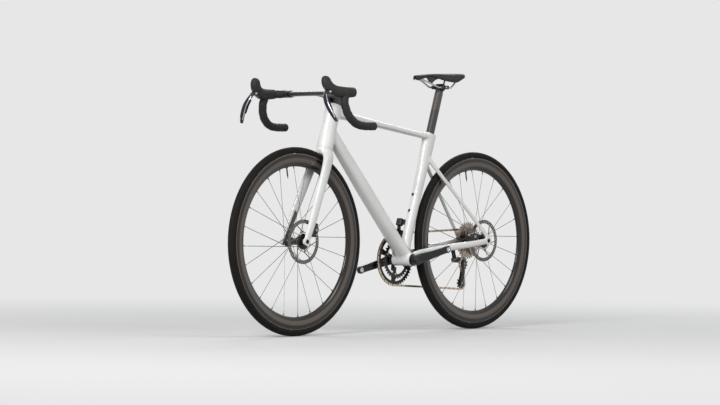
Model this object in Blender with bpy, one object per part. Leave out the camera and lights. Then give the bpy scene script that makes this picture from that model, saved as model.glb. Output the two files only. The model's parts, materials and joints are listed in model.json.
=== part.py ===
"""Road bike with drop bars, disc brakes and deep carbon rims.

Metres, +X forward, +Y to the rider's left, +Z up. The origin is on the ground,
midway between the two axles, in the bike's middle plane.
"""
import math

import bmesh
import bpy
from mathutils import Matrix, Vector

X = Vector((1, 0, 0))
Y = Vector((0, 1, 0))
Z = Vector((0, 0, 1))

# Gap between two pieces that touch on the real bike
GAP = 0.0003

# Wheels
WHEELBASE = 1.000
WHEEL_RADIUS = 0.340
TYRE_WIDTH = 0.029
TYRE_WALL = 0.0026
RIM_RADIUS = 0.3168
RIM_DEPTH = 0.047
RIM_WIDTH = 0.027
RIM_WALL = 0.0018
RIM_STEPS = 30
SPOKE_COUNT = 24
SPOKE_WIDTH = 0.0022
VALVE_RADIUS = 0.0030
VALVE_LENGTH = 0.040
VALVE_ANGLE = math.radians(79.5)
THRU_AXLE_RADIUS = 0.0060
FRONT_HUB_WIDTH = 0.100
REAR_HUB_WIDTH = 0.142
HUB_CORE_RADIUS = 0.0120
HUB_END_RADIUS = 0.0100
FLANGE_RADIUS = 0.0220
FLANGE_WIDTH = 0.0040
FRONT_FLANGES = (0.0270, -0.0340)
REAR_FLANGES = (0.0330, -0.0180)

# Disc brakes
ROTOR_RADIUS = 0.080
ROTOR_BAND = 0.0140
ROTOR_THICKNESS = 0.0018
ROTOR_CENTRE_RADIUS = 0.0290
FRONT_ROTOR_Y = 0.0390
REAR_ROTOR_Y = 0.0520
PAD_THICKNESS = 0.0026
PAD_GAP = 0.0005
CALIPER_LENGTH = 0.052
CALIPER_HEIGHT = 0.027
CALIPER_WIDTH = 0.027
CALIPER_SHIFT = 0.0025

# Frame
BB_DROP = 0.070
CHAINSTAY_LENGTH = 0.410
BB_SHELL_WIDTH = 0.0865
BB_SHELL_RADIUS = 0.0235
BB_BORE_RADIUS = 0.0205
HEAD_ANGLE = math.radians(73)
FORK_RAKE = 0.045
FORK_LENGTH = 0.3662
HEAD_TUBE_LENGTH = 0.166
HEAD_TUBE_RADIUS = 0.0290
HEAD_TUBE_WAIST = 0.0250
BEARING_RADIUS = 0.0258
BEARING_HEIGHT = 0.0080
SEAT_ANGLE = math.radians(72)
SEAT_TUBE_OFFSET = 0.012
SEAT_TUBE_LENGTH = 0.497
DROPOUT_RADIUS = 0.0165
DROPOUT_THICKNESS = 0.0070
BOSS_RADIUS = 0.0065
TUBE_WALL = 0.0022

# Seatpost and saddle
POST_DEPTH = 0.033
POST_WIDTH = 0.026
POST_INSERTION = 0.130
POST_RISE = 0.188
BARREL_RADIUS = 0.0140
POST_DROP = 0.060
SADDLE_LENGTH = 0.236
SADDLE_WIDTH = 0.145
SADDLE_STACK = 0.0505
SADDLE_SETBACK = 0.030
RAIL_RADIUS = 0.0035
RAIL_SPREAD = 0.022

# Steering and handlebar
STEERER_RADIUS = 0.0143
HEADSET_COVER_HEIGHT = 0.012
STEM_LENGTH = 0.092
STEM_HEIGHT = 0.034
BAR_HEIGHT = 0.876
BAR_RADIUS = 0.0119
BAR_TOP_DEPTH = 0.040
BAR_TOP_HEIGHT = 0.022
BAR_HALF_WIDTH = 0.197
BAR_REACH = 0.080
BAR_DROP = 0.120
BAR_FLARE = 0.022
TAPE_THICKNESS = 0.0029
TAPE_STEP = 0.0010
TAPE_TURN = 0.028
TAPE_FIRST = 3
LEVER_LENGTH = 0.104
LEVER_REACH = 0.150
LEVER_FLARE = 0.052

# Drivetrain
CHAIN_PITCH = 0.0127
CHAIN_Y = -0.0455
CHAIN_HALF_WIDTH = 0.0024
CHAIN_HALF_HEIGHT = 0.0040
CHAIN_SLOT = 0.0013
TOOTH_HALF_THICKNESS = 0.0009
TOOTH_HEIGHT = 0.0034
TOOTH_ROOT = 0.0040
RING_SPACING = 0.0070
OUTER_RING_TEETH = 48
INNER_RING_TEETH = 35
SPROCKETS = (11, 13, 15, 17, 19, 21, 23, 25, 27, 30, 34)
SPROCKET_SPACING = 0.00374
CHAIN_SPROCKET = 21
PULLEY_TEETH = 11
CAGE_LENGTH = 0.0765
CRANK_LENGTH = 0.1725
CRANK_ANGLE = math.radians(12.9)
CRANK_OUTSIDE = 0.0755
CRANK_THICKNESS = 0.0150
SPINDLE_RADIUS = 0.0120
SPIDER_BOLT_RADIUS = 0.0550
PEDAL_HOLE_RADIUS = 0.0070
CAGE_BODY_Y = -0.0370
CAGE_BODY_TURN = math.radians(-18)

# Places worked out from the sizes
REAR_AXLE = Vector((-WHEELBASE / 2, 0, WHEEL_RADIUS))
FRONT_AXLE = Vector((WHEELBASE / 2, 0, WHEEL_RADIUS))
BB = REAR_AXLE + Vector((math.sqrt(CHAINSTAY_LENGTH ** 2 - BB_DROP ** 2), 0, -BB_DROP))
STEER_UP = Vector((-math.cos(HEAD_ANGLE), 0, math.sin(HEAD_ANGLE)))
STEER_FORWARD = Vector((math.sin(HEAD_ANGLE), 0, math.cos(HEAD_ANGLE)))
STEER_FOOT = FRONT_AXLE - STEER_FORWARD * FORK_RAKE
SEAT_UP = Vector((-math.cos(SEAT_ANGLE), 0, math.sin(SEAT_ANGLE)))
SEAT_FOOT = BB + X * SEAT_TUBE_OFFSET
HEAD_BOTTOM = FORK_LENGTH + GAP
HEAD_TOP = HEAD_BOTTOM + HEAD_TUBE_LENGTH
STEM_BOTTOM = HEAD_TOP + HEADSET_COVER_HEIGHT + 2 * GAP
STEM_TOP = STEM_BOTTOM + STEM_HEIGHT

MATERIALS = {}


def clear_scene():
    for obj in list(bpy.data.objects):
        bpy.data.objects.remove(obj, do_unlink=True)


def finish(name, colour, roughness, metallic=0.0):
    """A plain surface finish, made once and shared by name."""
    if name not in MATERIALS:
        material = bpy.data.materials.new(name)
        material.use_nodes = True
        shader = material.node_tree.nodes["Principled BSDF"]
        shader.inputs["Base Color"].default_value = (*colour, 1)
        shader.inputs["Roughness"].default_value = roughness
        shader.inputs["Metallic"].default_value = metallic
        material.diffuse_color = (*colour, 1)
        MATERIALS[name] = material
    return MATERIALS[name]


def white_paint():
    return finish("white_paint", (0.86, 0.86, 0.85), 0.25)


def carbon():
    return finish("dark_carbon", (0.045, 0.043, 0.042), 0.28)


def black_metal():
    return finish("black_metal", (0.03, 0.03, 0.032), 0.35, 0.6)


def black_rubber():
    return finish("black_rubber", (0.025, 0.025, 0.025), 0.75)


def steel():
    return finish("steel", (0.60, 0.59, 0.57), 0.30, 1.0)


def silver():
    return finish("silver", (0.75, 0.75, 0.76), 0.20, 1.0)


def black_tape():
    return finish("black_tape", (0.03, 0.03, 0.03), 0.65)


def model(name, bm, material, sharp=40):
    """One object from a finished bmesh, with its faces turned outwards."""
    bmesh.ops.remove_doubles(bm, verts=bm.verts, dist=1e-6)
    bmesh.ops.recalc_face_normals(bm, faces=bm.faces)
    mesh = bpy.data.meshes.new(name)
    bm.to_mesh(mesh)
    bm.free()
    mesh.shade_smooth()
    mesh.set_sharp_from_angle(angle=math.radians(sharp))
    mesh.materials.append(material)
    obj = bpy.data.objects.new(name, mesh)
    bpy.context.scene.collection.objects.link(obj)
    return obj


def tool(name, bm):
    """A hidden shape that is cut from, or joined to, another one."""
    obj = model(name + "_tool", bm, black_metal())
    obj.hide_render = True
    obj.display_type = "WIRE"
    return obj


def combine(body, operation, bm):
    shape = tool(f"{body.name}_{operation.lower()}_{len(body.modifiers)}", bm)
    step = body.modifiers.new(operation.title(), "BOOLEAN")
    step.operation = operation
    step.solver = "EXACT"
    step.object = shape


def join(body, *shapes):
    for bm in shapes:
        combine(body, "UNION", bm)


def cut(body, *shapes):
    for bm in shapes:
        combine(body, "DIFFERENCE", bm)


def pivot(name, place, parent=None):
    """An empty on a joint's axis, which carries the pieces that turn or slide there."""
    empty = bpy.data.objects.new(name, None)
    empty.empty_display_size = 0.03
    bpy.context.scene.collection.objects.link(empty)
    empty["place"] = tuple(place)
    empty.parent = parent
    empty.location = place - (Vector(parent["place"]) if parent else Vector())
    return empty


def carry(empty, *pieces):
    """Moves each piece's origin to the empty and parents it there."""
    for piece in pieces:
        piece.data.transform(Matrix.Translation(-Vector(empty["place"])))
        piece.parent = empty


def section(bm, centre, first, second, half_first, half_second, power, sides):
    """A ring of points on a superellipse: power 2 is round, more is squarer."""
    points = []
    for index in range(sides):
        angle = 2 * math.pi * (index + 0.5) / sides
        c, s = math.cos(angle), math.sin(angle)
        u = math.copysign(abs(c) ** (2 / power), c) * half_first
        v = math.copysign(abs(s) ** (2 / power), s) * half_second
        points.append(bm.verts.new(centre + first * u + second * v))
    return points


def loft(stations, hint=Y, sides=12, grow=0.0):
    """A tube through (point, half size along the hint, half size across it, power)."""
    bm = bmesh.new()
    points = [Vector(station[0]) for station in stations]
    rings = []
    for index, (point, half_first, half_second, power) in enumerate(stations):
        before = points[max(index - 1, 0)]
        after = points[min(index + 1, len(points) - 1)]
        tangent = (after - before).normalized()
        first = (hint - tangent * hint.dot(tangent)).normalized()
        second = tangent.cross(first)
        rings.append(section(bm, points[index], first, second,
                             half_first + grow, half_second + grow, power, sides))
    for near, far in zip(rings, rings[1:]):
        for index in range(sides):
            after = (index + 1) % sides
            bm.faces.new((near[index], near[after], far[after], far[index]))
    bm.faces.new(reversed(rings[0]))
    bm.faces.new(rings[-1])
    return bm


def lathe(profile, centre, axis, start, steps, closed=True):
    """Turns a profile of (radius, distance along the axis) round the axis."""
    bm = bmesh.new()
    points = [bm.verts.new((radius, 0, along)) for radius, along in profile]
    edges = [bm.edges.new(pair) for pair in zip(points, points[1:])]
    if closed:
        edges.append(bm.edges.new((points[-1], points[0])))
    bmesh.ops.spin(bm, geom=points + edges, cent=(0, 0, 0), axis=(0, 0, 1),
                   angle=2 * math.pi, steps=steps, use_merge=True)
    bmesh.ops.remove_doubles(bm, verts=bm.verts, dist=1e-6)
    turn = Matrix((start, axis.cross(start), axis)).transposed().to_4x4()
    bmesh.ops.transform(bm, matrix=Matrix.Translation(centre) @ turn, verts=bm.verts)
    bmesh.ops.recalc_face_normals(bm, faces=bm.faces)
    return bm


def rod(start, end, radius, sides=16, end_radius=None):
    """A round bar between two points, or a cone where the end radius differs."""
    start, end = Vector(start), Vector(end)
    axis = end - start
    bm = bmesh.new()
    bmesh.ops.create_cone(bm, cap_ends=True, cap_tris=False, segments=sides, radius1=radius,
                          radius2=radius if end_radius is None else end_radius, depth=axis.length)
    turn = axis.to_track_quat("Z", "X").to_matrix().to_4x4()
    bmesh.ops.transform(bm, matrix=Matrix.Translation((start + end) / 2) @ turn, verts=bm.verts)
    return bm


def block(centre, half, turn=0.0):
    """A box with half sizes along X, Y and Z, turned about Y by an angle."""
    bm = bmesh.new()
    bmesh.ops.create_cube(bm, size=2)
    bmesh.ops.scale(bm, vec=half, verts=bm.verts)
    matrix = Matrix.Translation(centre) @ Matrix.Rotation(turn, 4, "Y")
    bmesh.ops.transform(bm, matrix=matrix, verts=bm.verts)
    return bm


def prism(outline, low, high):
    """A flat outline of (x, z) points, stretched along Y from low to high."""
    bm = bmesh.new()
    face = bm.faces.new([bm.verts.new((x, low, z)) for x, z in outline])
    grown = bmesh.ops.extrude_face_region(bm, geom=[face])
    moved = [part for part in grown["geom"] if isinstance(part, bmesh.types.BMVert)]
    bmesh.ops.translate(bm, vec=Y * (high - low), verts=moved)
    bmesh.ops.recalc_face_normals(bm, faces=bm.faces)
    return bm


def merged(*shapes):
    """Several separate shapes in one bmesh, for one cut."""
    result = shapes[0]
    for bm in shapes[1:]:
        mesh = bpy.data.meshes.new("merge")
        bm.to_mesh(mesh)
        bm.free()
        result.from_mesh(mesh)
        bpy.data.meshes.remove(mesh)
    return result


def mirrored(bm):
    """The same shape on the other side of the bike."""
    copy = bm.copy()
    bmesh.ops.scale(copy, vec=(1, -1, 1), verts=copy.verts)
    bmesh.ops.reverse_faces(copy, faces=copy.faces)
    return copy


def steer_point(along, forward=0.0, left=0.0):
    return STEER_FOOT + STEER_UP * along + STEER_FORWARD * forward + Y * left


def seat_point(along, forward=0.0):
    side = Vector((SEAT_UP.z, 0, -SEAT_UP.x))
    return SEAT_FOOT + SEAT_UP * along + side * forward


def pitch_radius(teeth):
    return CHAIN_PITCH / (2 * math.sin(math.pi / teeth))


def circle_points(centre, radius, count, first=0.0):
    return [(centre.x + radius * math.cos(first + 2 * math.pi * i / count),
             centre.z + radius * math.sin(first + 2 * math.pi * i / count)) for i in range(count)]


# Frame

def head_tube():
    waist = (HEAD_BOTTOM + HEAD_TOP) / 2
    depth = HEAD_TUBE_RADIUS + 0.0015
    stations = [
        (steer_point(HEAD_BOTTOM), HEAD_TUBE_RADIUS, depth, 2.1),
        (steer_point(HEAD_BOTTOM + 0.016), HEAD_TUBE_RADIUS, depth, 2.1),
        (steer_point(waist), HEAD_TUBE_WAIST, depth, 2.2),
        (steer_point(HEAD_TOP - 0.016), HEAD_TUBE_RADIUS - 0.001, depth, 2.1),
        (steer_point(HEAD_TOP), HEAD_TUBE_RADIUS - 0.001, depth, 2.1)]
    return loft(stations, Y, 14)


def down_tube(shrink=0.0):
    upper = steer_point((HEAD_BOTTOM + HEAD_TOP) / 2 - 0.014)
    lower = BB + Vector((-0.006, 0, 0.004))
    sizes = ((0.0, 0.0220, 0.0250), (0.16, 0.0235, 0.0240), (0.42, 0.0260, 0.0262),
             (0.62, 0.0270, 0.0255), (0.82, 0.0305, 0.0225), (0.97, 0.0385, 0.0200))
    stations = [(upper.lerp(lower, share), width, depth, 2.4) for share, width, depth in sizes]
    return loft(stations, Y, 10 if shrink == 0 else 8, -shrink)


def top_tube(shrink=0.0):
    upper = steer_point(HEAD_TOP - 0.031)
    lower = seat_point(SEAT_TUBE_LENGTH - 0.0125)
    sizes = ((0.0, 0.0230, 0.0170), (0.13, 0.0220, 0.0145), (0.52, 0.0190, 0.0115), (1.0, 0.0165, 0.0108))
    stations = [(upper.lerp(lower, share), width, depth, 2.6) for share, width, depth in sizes]
    return loft(stations, Y, 10 if shrink == 0 else 8, -shrink)


def seat_tube(grow=0.0):
    sizes = ((0.012, 0.0300, 0.0200), (0.075, 0.0180, 0.0195), (0.235, 0.0168, 0.0188),
             (0.350, 0.0172, 0.0205), (0.425, 0.0178, 0.0265), (SEAT_TUBE_LENGTH, 0.0178, 0.0285))
    stations = [(seat_point(along), width, depth, 2.4) for along, width, depth in sizes]
    return loft(stations, Y, 10, grow)


def chainstay():
    """The left stay, from the bottom bracket shell to the dropout."""
    tyre_side = TYRE_WIDTH / 2 + 0.0063
    outer = REAR_HUB_WIDTH / 2
    stations = [
        (BB + Vector((-0.012, 0.0250, 0.008)), 0.0095, 0.0150, 2.6),
        (BB + Vector((-0.052, tyre_side + 0.0066, 0.020)), 0.0066, 0.0160, 2.6),
        (BB + Vector((-0.095, tyre_side + 0.0076, 0.027)), 0.0066, 0.0150, 2.6),
        (BB + Vector((-0.145, 0.0355, 0.035)), 0.0070, 0.0138, 2.5),
        (REAR_AXLE + Vector((0.180, 0.0495, -0.0235)), 0.0075, 0.0130, 2.4),
        (REAR_AXLE + Vector((0.092, outer - 0.0070, -0.0135)), 0.0075, 0.0124, 2.4),
        (REAR_AXLE + Vector((0.040, outer + 0.0010, -0.0065)), 0.0060, 0.0115, 2.4),
        (REAR_AXLE + Vector((0.004, outer + DROPOUT_THICKNESS / 2, -0.0010)), 0.0030, 0.0105, 2.4)]
    return loft(stations, Y, 8)


def seatstay():
    """The left stay, from the seat tube to the dropout."""
    outer = REAR_HUB_WIDTH / 2 + DROPOUT_THICKNESS / 2
    upper = seat_point(0.404, -0.006) + Y * 0.0115
    lower = REAR_AXLE + Vector((0.003, outer, 0.015))
    sizes = ((0.0, 0.0070, 0.0105), (0.18, 0.0060, 0.0080), (0.55, 0.0058, 0.0070),
             (0.88, 0.0050, 0.0078), (1.0, 0.0032, 0.0100))
    stations = [(upper.lerp(lower, share), width, depth, 2.2) for share, width, depth in sizes]
    return loft(stations, Y, 8)


def dropout():
    inner = REAR_HUB_WIDTH / 2
    return rod(REAR_AXLE + Y * inner, REAR_AXLE + Y * (inner + DROPOUT_THICKNESS), DROPOUT_RADIUS, 12)


def boss_places():
    """Upper and lower bottle bosses on the front of the seat tube."""
    return [seat_point(along, 0.0175) for along in (0.251, 0.187)]


def post_section(along, grow=0.0):
    """A post section that is round in front and flat behind."""
    return (seat_point(along), POST_WIDTH / 2 + grow, POST_DEPTH / 2 + grow, 2.6)


def make_frame():
    frame = model("frame", head_tube(), white_paint())
    shell = rod(BB - Y * BB_SHELL_WIDTH / 2, BB + Y * BB_SHELL_WIDTH / 2, BB_SHELL_RADIUS, 16)
    join(frame, down_tube(), top_tube(), seat_tube(), shell)
    for shape in (chainstay(), seatstay(), dropout()):
        other = mirrored(shape)
        join(frame, shape, other)
    forward = Vector((SEAT_UP.z, 0, -SEAT_UP.x))
    for place in boss_places():
        join(frame, rod(place, place + forward * 0.0030, BOSS_RADIUS, 8))
    seat_radius = BEARING_RADIUS + GAP
    throat = HEAD_TUBE_WAIST - 0.0045
    step = BEARING_HEIGHT + GAP
    length = HEAD_TUBE_LENGTH
    profile = ((0, -0.01), (seat_radius, -0.01), (seat_radius, step), (throat, step),
               (throat, length - step), (seat_radius, length - step),
               (seat_radius, length + 0.01), (0, length + 0.01))
    cut(frame, lathe(profile, steer_point(HEAD_BOTTOM), STEER_UP, Y, 16, closed=False))
    cut(frame, down_tube(TUBE_WALL), top_tube(TUBE_WALL))
    bore = ((0, -0.06), (BB_BORE_RADIUS, -0.06), (BB_BORE_RADIUS, 0.06), (0, 0.06))
    cut(frame, lathe(bore, BB, Y, Z, 16, closed=False))
    bottom = SEAT_TUBE_LENGTH - POST_INSERTION - POST_DROP - 0.010
    cut(frame, loft([post_section(bottom, GAP), post_section(SEAT_TUBE_LENGTH + 0.02, GAP)], Y, 12))
    cut(frame, rod(REAR_AXLE - Y * 0.1, REAR_AXLE + Y * 0.1, THRU_AXLE_RADIUS + GAP, 12))
    return frame


def make_hanger():
    """The replaceable plate under the right dropout that holds the rear derailleur."""
    inner = -REAR_HUB_WIDTH / 2 - DROPOUT_THICKNESS - GAP
    outer = inner - 0.0050
    top = REAR_AXLE
    foot = hanger_bolt()
    outline = circle_points(top, 0.0115, 12, 0.0)[:7]
    outline += [(foot.x - 0.0085, foot.z), (foot.x - 0.004, foot.z - 0.008),
                (foot.x + 0.004, foot.z - 0.008), (foot.x + 0.0085, foot.z)]
    hanger = model("derailleur_hanger", prism(outline, outer, inner), black_metal())
    cut(hanger, rod(REAR_AXLE - Y * 0.1, REAR_AXLE, THRU_AXLE_RADIUS + GAP, 16))
    return hanger


def hanger_bolt():
    return REAR_AXLE + Vector((-0.008, 0, -0.0270))


def make_headset():
    """Two bearings pressed into the head tube's seats, and the cover on top."""
    inner = STEERER_RADIUS + GAP
    lower_inner = STEERER_RADIUS + 0.0050 + 2 * GAP
    lower = ((lower_inner, 0), (BEARING_RADIUS, 0), (BEARING_RADIUS, BEARING_HEIGHT),
             (lower_inner, BEARING_HEIGHT))
    upper = ((inner, 0), (BEARING_RADIUS, 0), (BEARING_RADIUS, BEARING_HEIGHT), (inner, BEARING_HEIGHT))
    first = model("headset_lower_bearing", lathe(lower, steer_point(HEAD_BOTTOM), STEER_UP, Y, 16), steel())
    place = steer_point(HEAD_TOP - BEARING_HEIGHT)
    second = model("headset_upper_bearing", lathe(upper, place, STEER_UP, Y, 16), steel())
    return first, second


def make_bottom_bracket():
    """Two pressed cups, each with its bearing, that carry the spindle."""
    cups = []
    for name, side in (("bb_cup_left", 1), ("bb_cup_right", -1)):
        face = BB_SHELL_WIDTH / 2
        bore = SPINDLE_RADIUS + GAP
        outer = BB_BORE_RADIUS - GAP
        profile = ((bore, face - 0.0120), (outer, face - 0.0120), (outer, face + GAP),
                   (BB_SHELL_RADIUS - 0.001, face + GAP), (BB_SHELL_RADIUS - 0.001, face + 0.0028),
                   (bore, face + 0.0028))
        cups.append(model(name, lathe(profile, BB, Y * side, Z, 16), black_metal()))
    return cups


def make_seat_wedge():
    """The wedge that clamps the post, in the pocket behind it at the top of the seat tube."""
    top = SEAT_TUBE_LENGTH
    depth = 0.0285
    low = seat_point(top + GAP, -depth + 0.0042)
    high = seat_point(top + 0.0022, -depth + 0.0042)
    side = (low, 0.0085, 0.0030, 4.0)
    return model("seatpost_wedge", loft([side, (high, 0.0080, 0.0026, 4.0)], Y, 12), black_metal())


# Wheels

def make_tyre(name, axle):
    half = TYRE_WIDTH / 2
    centre = WHEEL_RADIUS - half
    base = RIM_RADIUS + GAP
    outer_angle = math.asin((centre - base) / half)
    inside = half - TYRE_WALL
    inner_angle = math.asin((centre - base) / inside)
    profile = []
    for index in range(7):
        angle = -outer_angle + (math.pi + 2 * outer_angle) * index / 6
        profile.append((centre + half * math.sin(angle), half * math.cos(angle)))
    for index in range(3):
        angle = math.pi + inner_angle - (math.pi + 2 * inner_angle) * index / 2
        profile.append((centre + inside * math.sin(angle), inside * math.cos(angle)))
    return model(name, lathe(profile, axle, Y, -Z, RIM_STEPS), black_rubber())


def rim_profile(wall=0.0):
    half = RIM_WIDTH / 2 - wall
    top = RIM_RADIUS - wall
    bottom = RIM_RADIUS - RIM_DEPTH + 2 * wall
    shape = ((top, half * 0.94), (top - 0.016, half), (bottom, half * 0.22))
    if wall:
        shape = (shape[0], shape[2])
    return [(r, y) for r, y in shape] + [(r, -y) for r, y in reversed(shape)]


def valve_line(axle, past=0.0):
    """The valve's inner end, near the hub, and its outer one inside the tyre's bed."""
    out = X * math.cos(VALVE_ANGLE) + Z * math.sin(VALVE_ANGLE)
    inner = axle + out * (RIM_RADIUS - RIM_DEPTH - VALVE_LENGTH)
    return inner, axle + out * (RIM_RADIUS - GAP + past)


def make_rim(name, axle):
    rim = model(name, lathe(rim_profile(), axle, Y, -Z, RIM_STEPS), carbon())
    cut(rim, lathe(rim_profile(RIM_WALL), axle, Y, -Z, RIM_STEPS))
    low, high = valve_line(axle, 0.010)
    cut(rim, rod(low, high, VALVE_RADIUS + GAP, 8))
    return rim


def make_valve(name, axle):
    low, high = valve_line(axle)
    return model(name, rod(low, high, VALVE_RADIUS, 8), black_metal())


def spoke(axle, index, flanges):
    """A straight spoke from the edge of a hub flange to the rim, leaning along the turn."""
    side = index % 2
    lean = math.radians(62 if index % 4 < 2 else -62)
    angle = VALVE_ANGLE + 2 * math.pi * (index + 0.5) / SPOKE_COUNT
    end_radius = (RIM_RADIUS - RIM_DEPTH) * math.cos(math.pi / RIM_STEPS) - GAP
    start = Vector((math.cos(angle + lean), 0, math.sin(angle + lean))) * (FLANGE_RADIUS - 0.0025)
    end = Vector((math.cos(angle), 0, math.sin(angle))) * end_radius
    start = axle + start + Y * flanges[side]
    end = axle + end + Y * (0.0016 if side == 0 else -0.0016)
    return rod(start, end, SPOKE_WIDTH / 2, 3)


def make_hub(name, axle, width, flanges, rotor_y, cassette_side):
    """The hub shell, its end caps and the laced spokes, as one body."""
    half = width / 2 - GAP
    bore = THRU_AXLE_RADIUS + GAP
    left, right = flanges
    carrier = rotor_y - ROTOR_THICKNESS / 2 - GAP
    left_body = 0.0190
    profile = [(bore, half), (HUB_END_RADIUS, half), (HUB_END_RADIUS, carrier), (left_body, carrier),
               (left_body, left + FLANGE_WIDTH / 2), (FLANGE_RADIUS, left + FLANGE_WIDTH / 2),
               (FLANGE_RADIUS, left - FLANGE_WIDTH / 2), (HUB_CORE_RADIUS, left - 0.012),
               (HUB_CORE_RADIUS, right + 0.008), (FLANGE_RADIUS, right + FLANGE_WIDTH / 2),
               (FLANGE_RADIUS, right - FLANGE_WIDTH / 2)]
    if cassette_side:
        profile += [(bore, right - FLANGE_WIDTH / 2)]
    else:
        profile += [(HUB_END_RADIUS, right - 0.008), (HUB_END_RADIUS, -half), (bore, -half)]
    hub = model(name, lathe(profile, axle, Y, -Z, 12), black_metal())
    spokes = [spoke(axle, index, flanges) for index in range(SPOKE_COUNT)]
    for group in range(4):
        join(hub, merged(*spokes[group::4]))
    return hub


def make_freehub_sleeve():
    """The hub's axle sleeve on the right, inside the cassette."""
    bore = THRU_AXLE_RADIUS + GAP
    inner = REAR_FLANGES[1] - FLANGE_WIDTH / 2 - GAP
    outer = -REAR_HUB_WIDTH / 2 + GAP
    profile = ((bore, outer), (HUB_END_RADIUS, outer), (HUB_END_RADIUS, inner), (bore, inner))
    return model("freehub_sleeve", lathe(profile, REAR_AXLE, Y, -Z, 12), black_metal())


def make_rotor(name, axle, y):
    """A flat disc with bent windows between its braking band and its carrier."""
    half = ROTOR_THICKNESS / 2
    bore = HUB_END_RADIUS + GAP
    profile = ((bore, -half), (ROTOR_RADIUS, -half), (ROTOR_RADIUS, half), (bore, half))
    place = axle + Y * y
    rotor = model(name, lathe(profile, place, Y, -Z, 24), steel())
    windows = []
    inner, outer = ROTOR_CENTRE_RADIUS, ROTOR_RADIUS - ROTOR_BAND
    for index in range(5):
        turn = math.pi / 2.5 * index
        outline = []
        for share in (0.0, 0.5, 1.0):
            angle = turn + math.radians(20) + math.radians(58) * share
            outline.append((place.x + outer * math.cos(angle), place.z + outer * math.sin(angle)))
        for share in (1.0, 0.0):
            angle = turn + math.radians(48) * share
            outline.append((place.x + inner * math.cos(angle), place.z + inner * math.sin(angle)))
        windows.append(prism(outline, y - 0.005, y + 0.005))
    cut(rotor, merged(*windows))
    return rotor


def make_thru_axle(name, axle, half_width, frame_side):
    """A hollow axle with a flush head on the left."""
    left = half_width + frame_side - GAP
    right = -half_width - frame_side + GAP
    bar = rod(axle + Y * right, axle + Y * left, THRU_AXLE_RADIUS, 12)
    piece = model(name, bar, black_metal())
    cut(piece, rod(axle + Y * (left - 0.010), axle + Y * (left + 0.005), 0.0032, 6))
    return piece


# Brakes

def caliper_place(axle, stay, along, beside):
    """The middle of a caliper that lies beside a stay, from its axle: a point and a turn."""
    across = Vector((stay.z, 0, -stay.x))
    if across.z < 0 and abs(stay.x) > abs(stay.z):
        across = -across
    if across.x > 0 and abs(stay.x) < abs(stay.z):
        across = -across
    return axle + stay * along + across * beside, math.atan2(-stay.z, stay.x)


def make_caliper(name, place, turn, axle, rotor_y):
    """A two-sided caliper, cut by the rotor's path and the space for its pads."""
    half = Vector((CALIPER_LENGTH / 2, CALIPER_WIDTH / 2, CALIPER_HEIGHT / 2))
    body = block(Vector((place.x, rotor_y + CALIPER_SHIFT, place.z)), half, turn)
    bmesh.ops.bevel(body, geom=body.edges[:], offset=0.0045, segments=2, affect="EDGES", profile=0.5)
    caliper = model(name, body, black_metal())
    slot = PAD_THICKNESS + PAD_GAP + ROTOR_THICKNESS / 2 + GAP
    middle = axle + Y * rotor_y
    cut(caliper, rod(middle - Y * slot, middle + Y * slot, ROTOR_RADIUS + 0.0020, 48))
    return caliper


def make_pad(name, place, axle, rotor_y, side):
    """One brake pad on the rotor's band, next to the caliper's middle."""
    out = place - axle
    out.y = 0
    out.normalize()
    y = rotor_y + side * (ROTOR_THICKNESS / 2 + PAD_GAP + PAD_THICKNESS / 2)
    middle = axle + out * (ROTOR_RADIUS - ROTOR_BAND / 2) + Y * y
    half = Vector((0.0064, PAD_THICKNESS / 2, 0.0100))
    return model(name, block(middle, half, math.atan2(-out.z, out.x)), black_metal())


# Fork

def fork_path():
    """Stations of the two legs and the crown, from the left dropout to the right one."""
    tip = FRONT_AXLE + Y * (FRONT_HUB_WIDTH / 2 + 0.0052)
    top = steer_point(FORK_LENGTH - 0.0140)
    sizes = ((0.0, 0.0145, 0.0048, 1.0), (0.04, 0.0147, 0.0048, 1.0), (0.12, 0.0152, 0.0070, 0.985),
             (0.30, 0.0170, 0.0080, 0.93), (0.60, 0.0190, 0.0088, 0.80), (0.85, 0.0210, 0.0100, 0.665), (0.945, 0.0225, 0.0115, 0.53),
             (0.99, 0.0240, 0.0115, 0.30))
    left = []
    for share, depth, width, spread in sizes:
        point = tip.lerp(top, share)
        point.y = tip.y * spread
        left.append((point, depth, width, 2.3))
    middle = (top.copy(), 0.0245, 0.0110, 2.3)
    right = [(Vector((p.x, -p.y, p.z)), depth, width, power) for p, depth, width, power in reversed(left)]
    return left + [middle] + right


def make_fork():
    """Crown, legs and steerer in one piece."""
    fork = model("fork", loft(fork_path(), X, 10), white_paint())
    depth = HEAD_TUBE_RADIUS + 0.0015
    crown = loft([(steer_point(FORK_LENGTH - 0.020), HEAD_TUBE_RADIUS - 0.004, depth - 0.005, 2.1),
                  (steer_point(FORK_LENGTH - 0.012), HEAD_TUBE_RADIUS, depth, 2.1),
                  (steer_point(FORK_LENGTH), HEAD_TUBE_RADIUS, depth, 2.1)], Y, 14)
    taper = BEARING_HEIGHT + 0.012
    top = STEM_TOP - 0.003
    profile = ((0, FORK_LENGTH - 0.010), (STEERER_RADIUS + 0.0050, FORK_LENGTH - 0.010),
               (STEERER_RADIUS + 0.0050, FORK_LENGTH + taper), (STEERER_RADIUS, FORK_LENGTH + taper + 0.030),
               (STEERER_RADIUS, top), (0, top))
    steerer = lathe(profile, STEER_FOOT, STEER_UP, Y, 12, closed=False)
    join(fork, crown, steerer)
    inner = FRONT_HUB_WIDTH / 2
    for side in (1, -1):
        join(fork, rod(FRONT_AXLE + Y * side * inner, FRONT_AXLE + Y * side * (inner + 0.0100), 0.0150, 12))
    cut(fork, rod(steer_point(FORK_LENGTH + 0.050), steer_point(top + 0.02), STEERER_RADIUS - 0.0025, 12))
    cut(fork, rod(FRONT_AXLE - Y * 0.1, FRONT_AXLE + Y * 0.1, THRU_AXLE_RADIUS + GAP, 12))
    return fork


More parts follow.
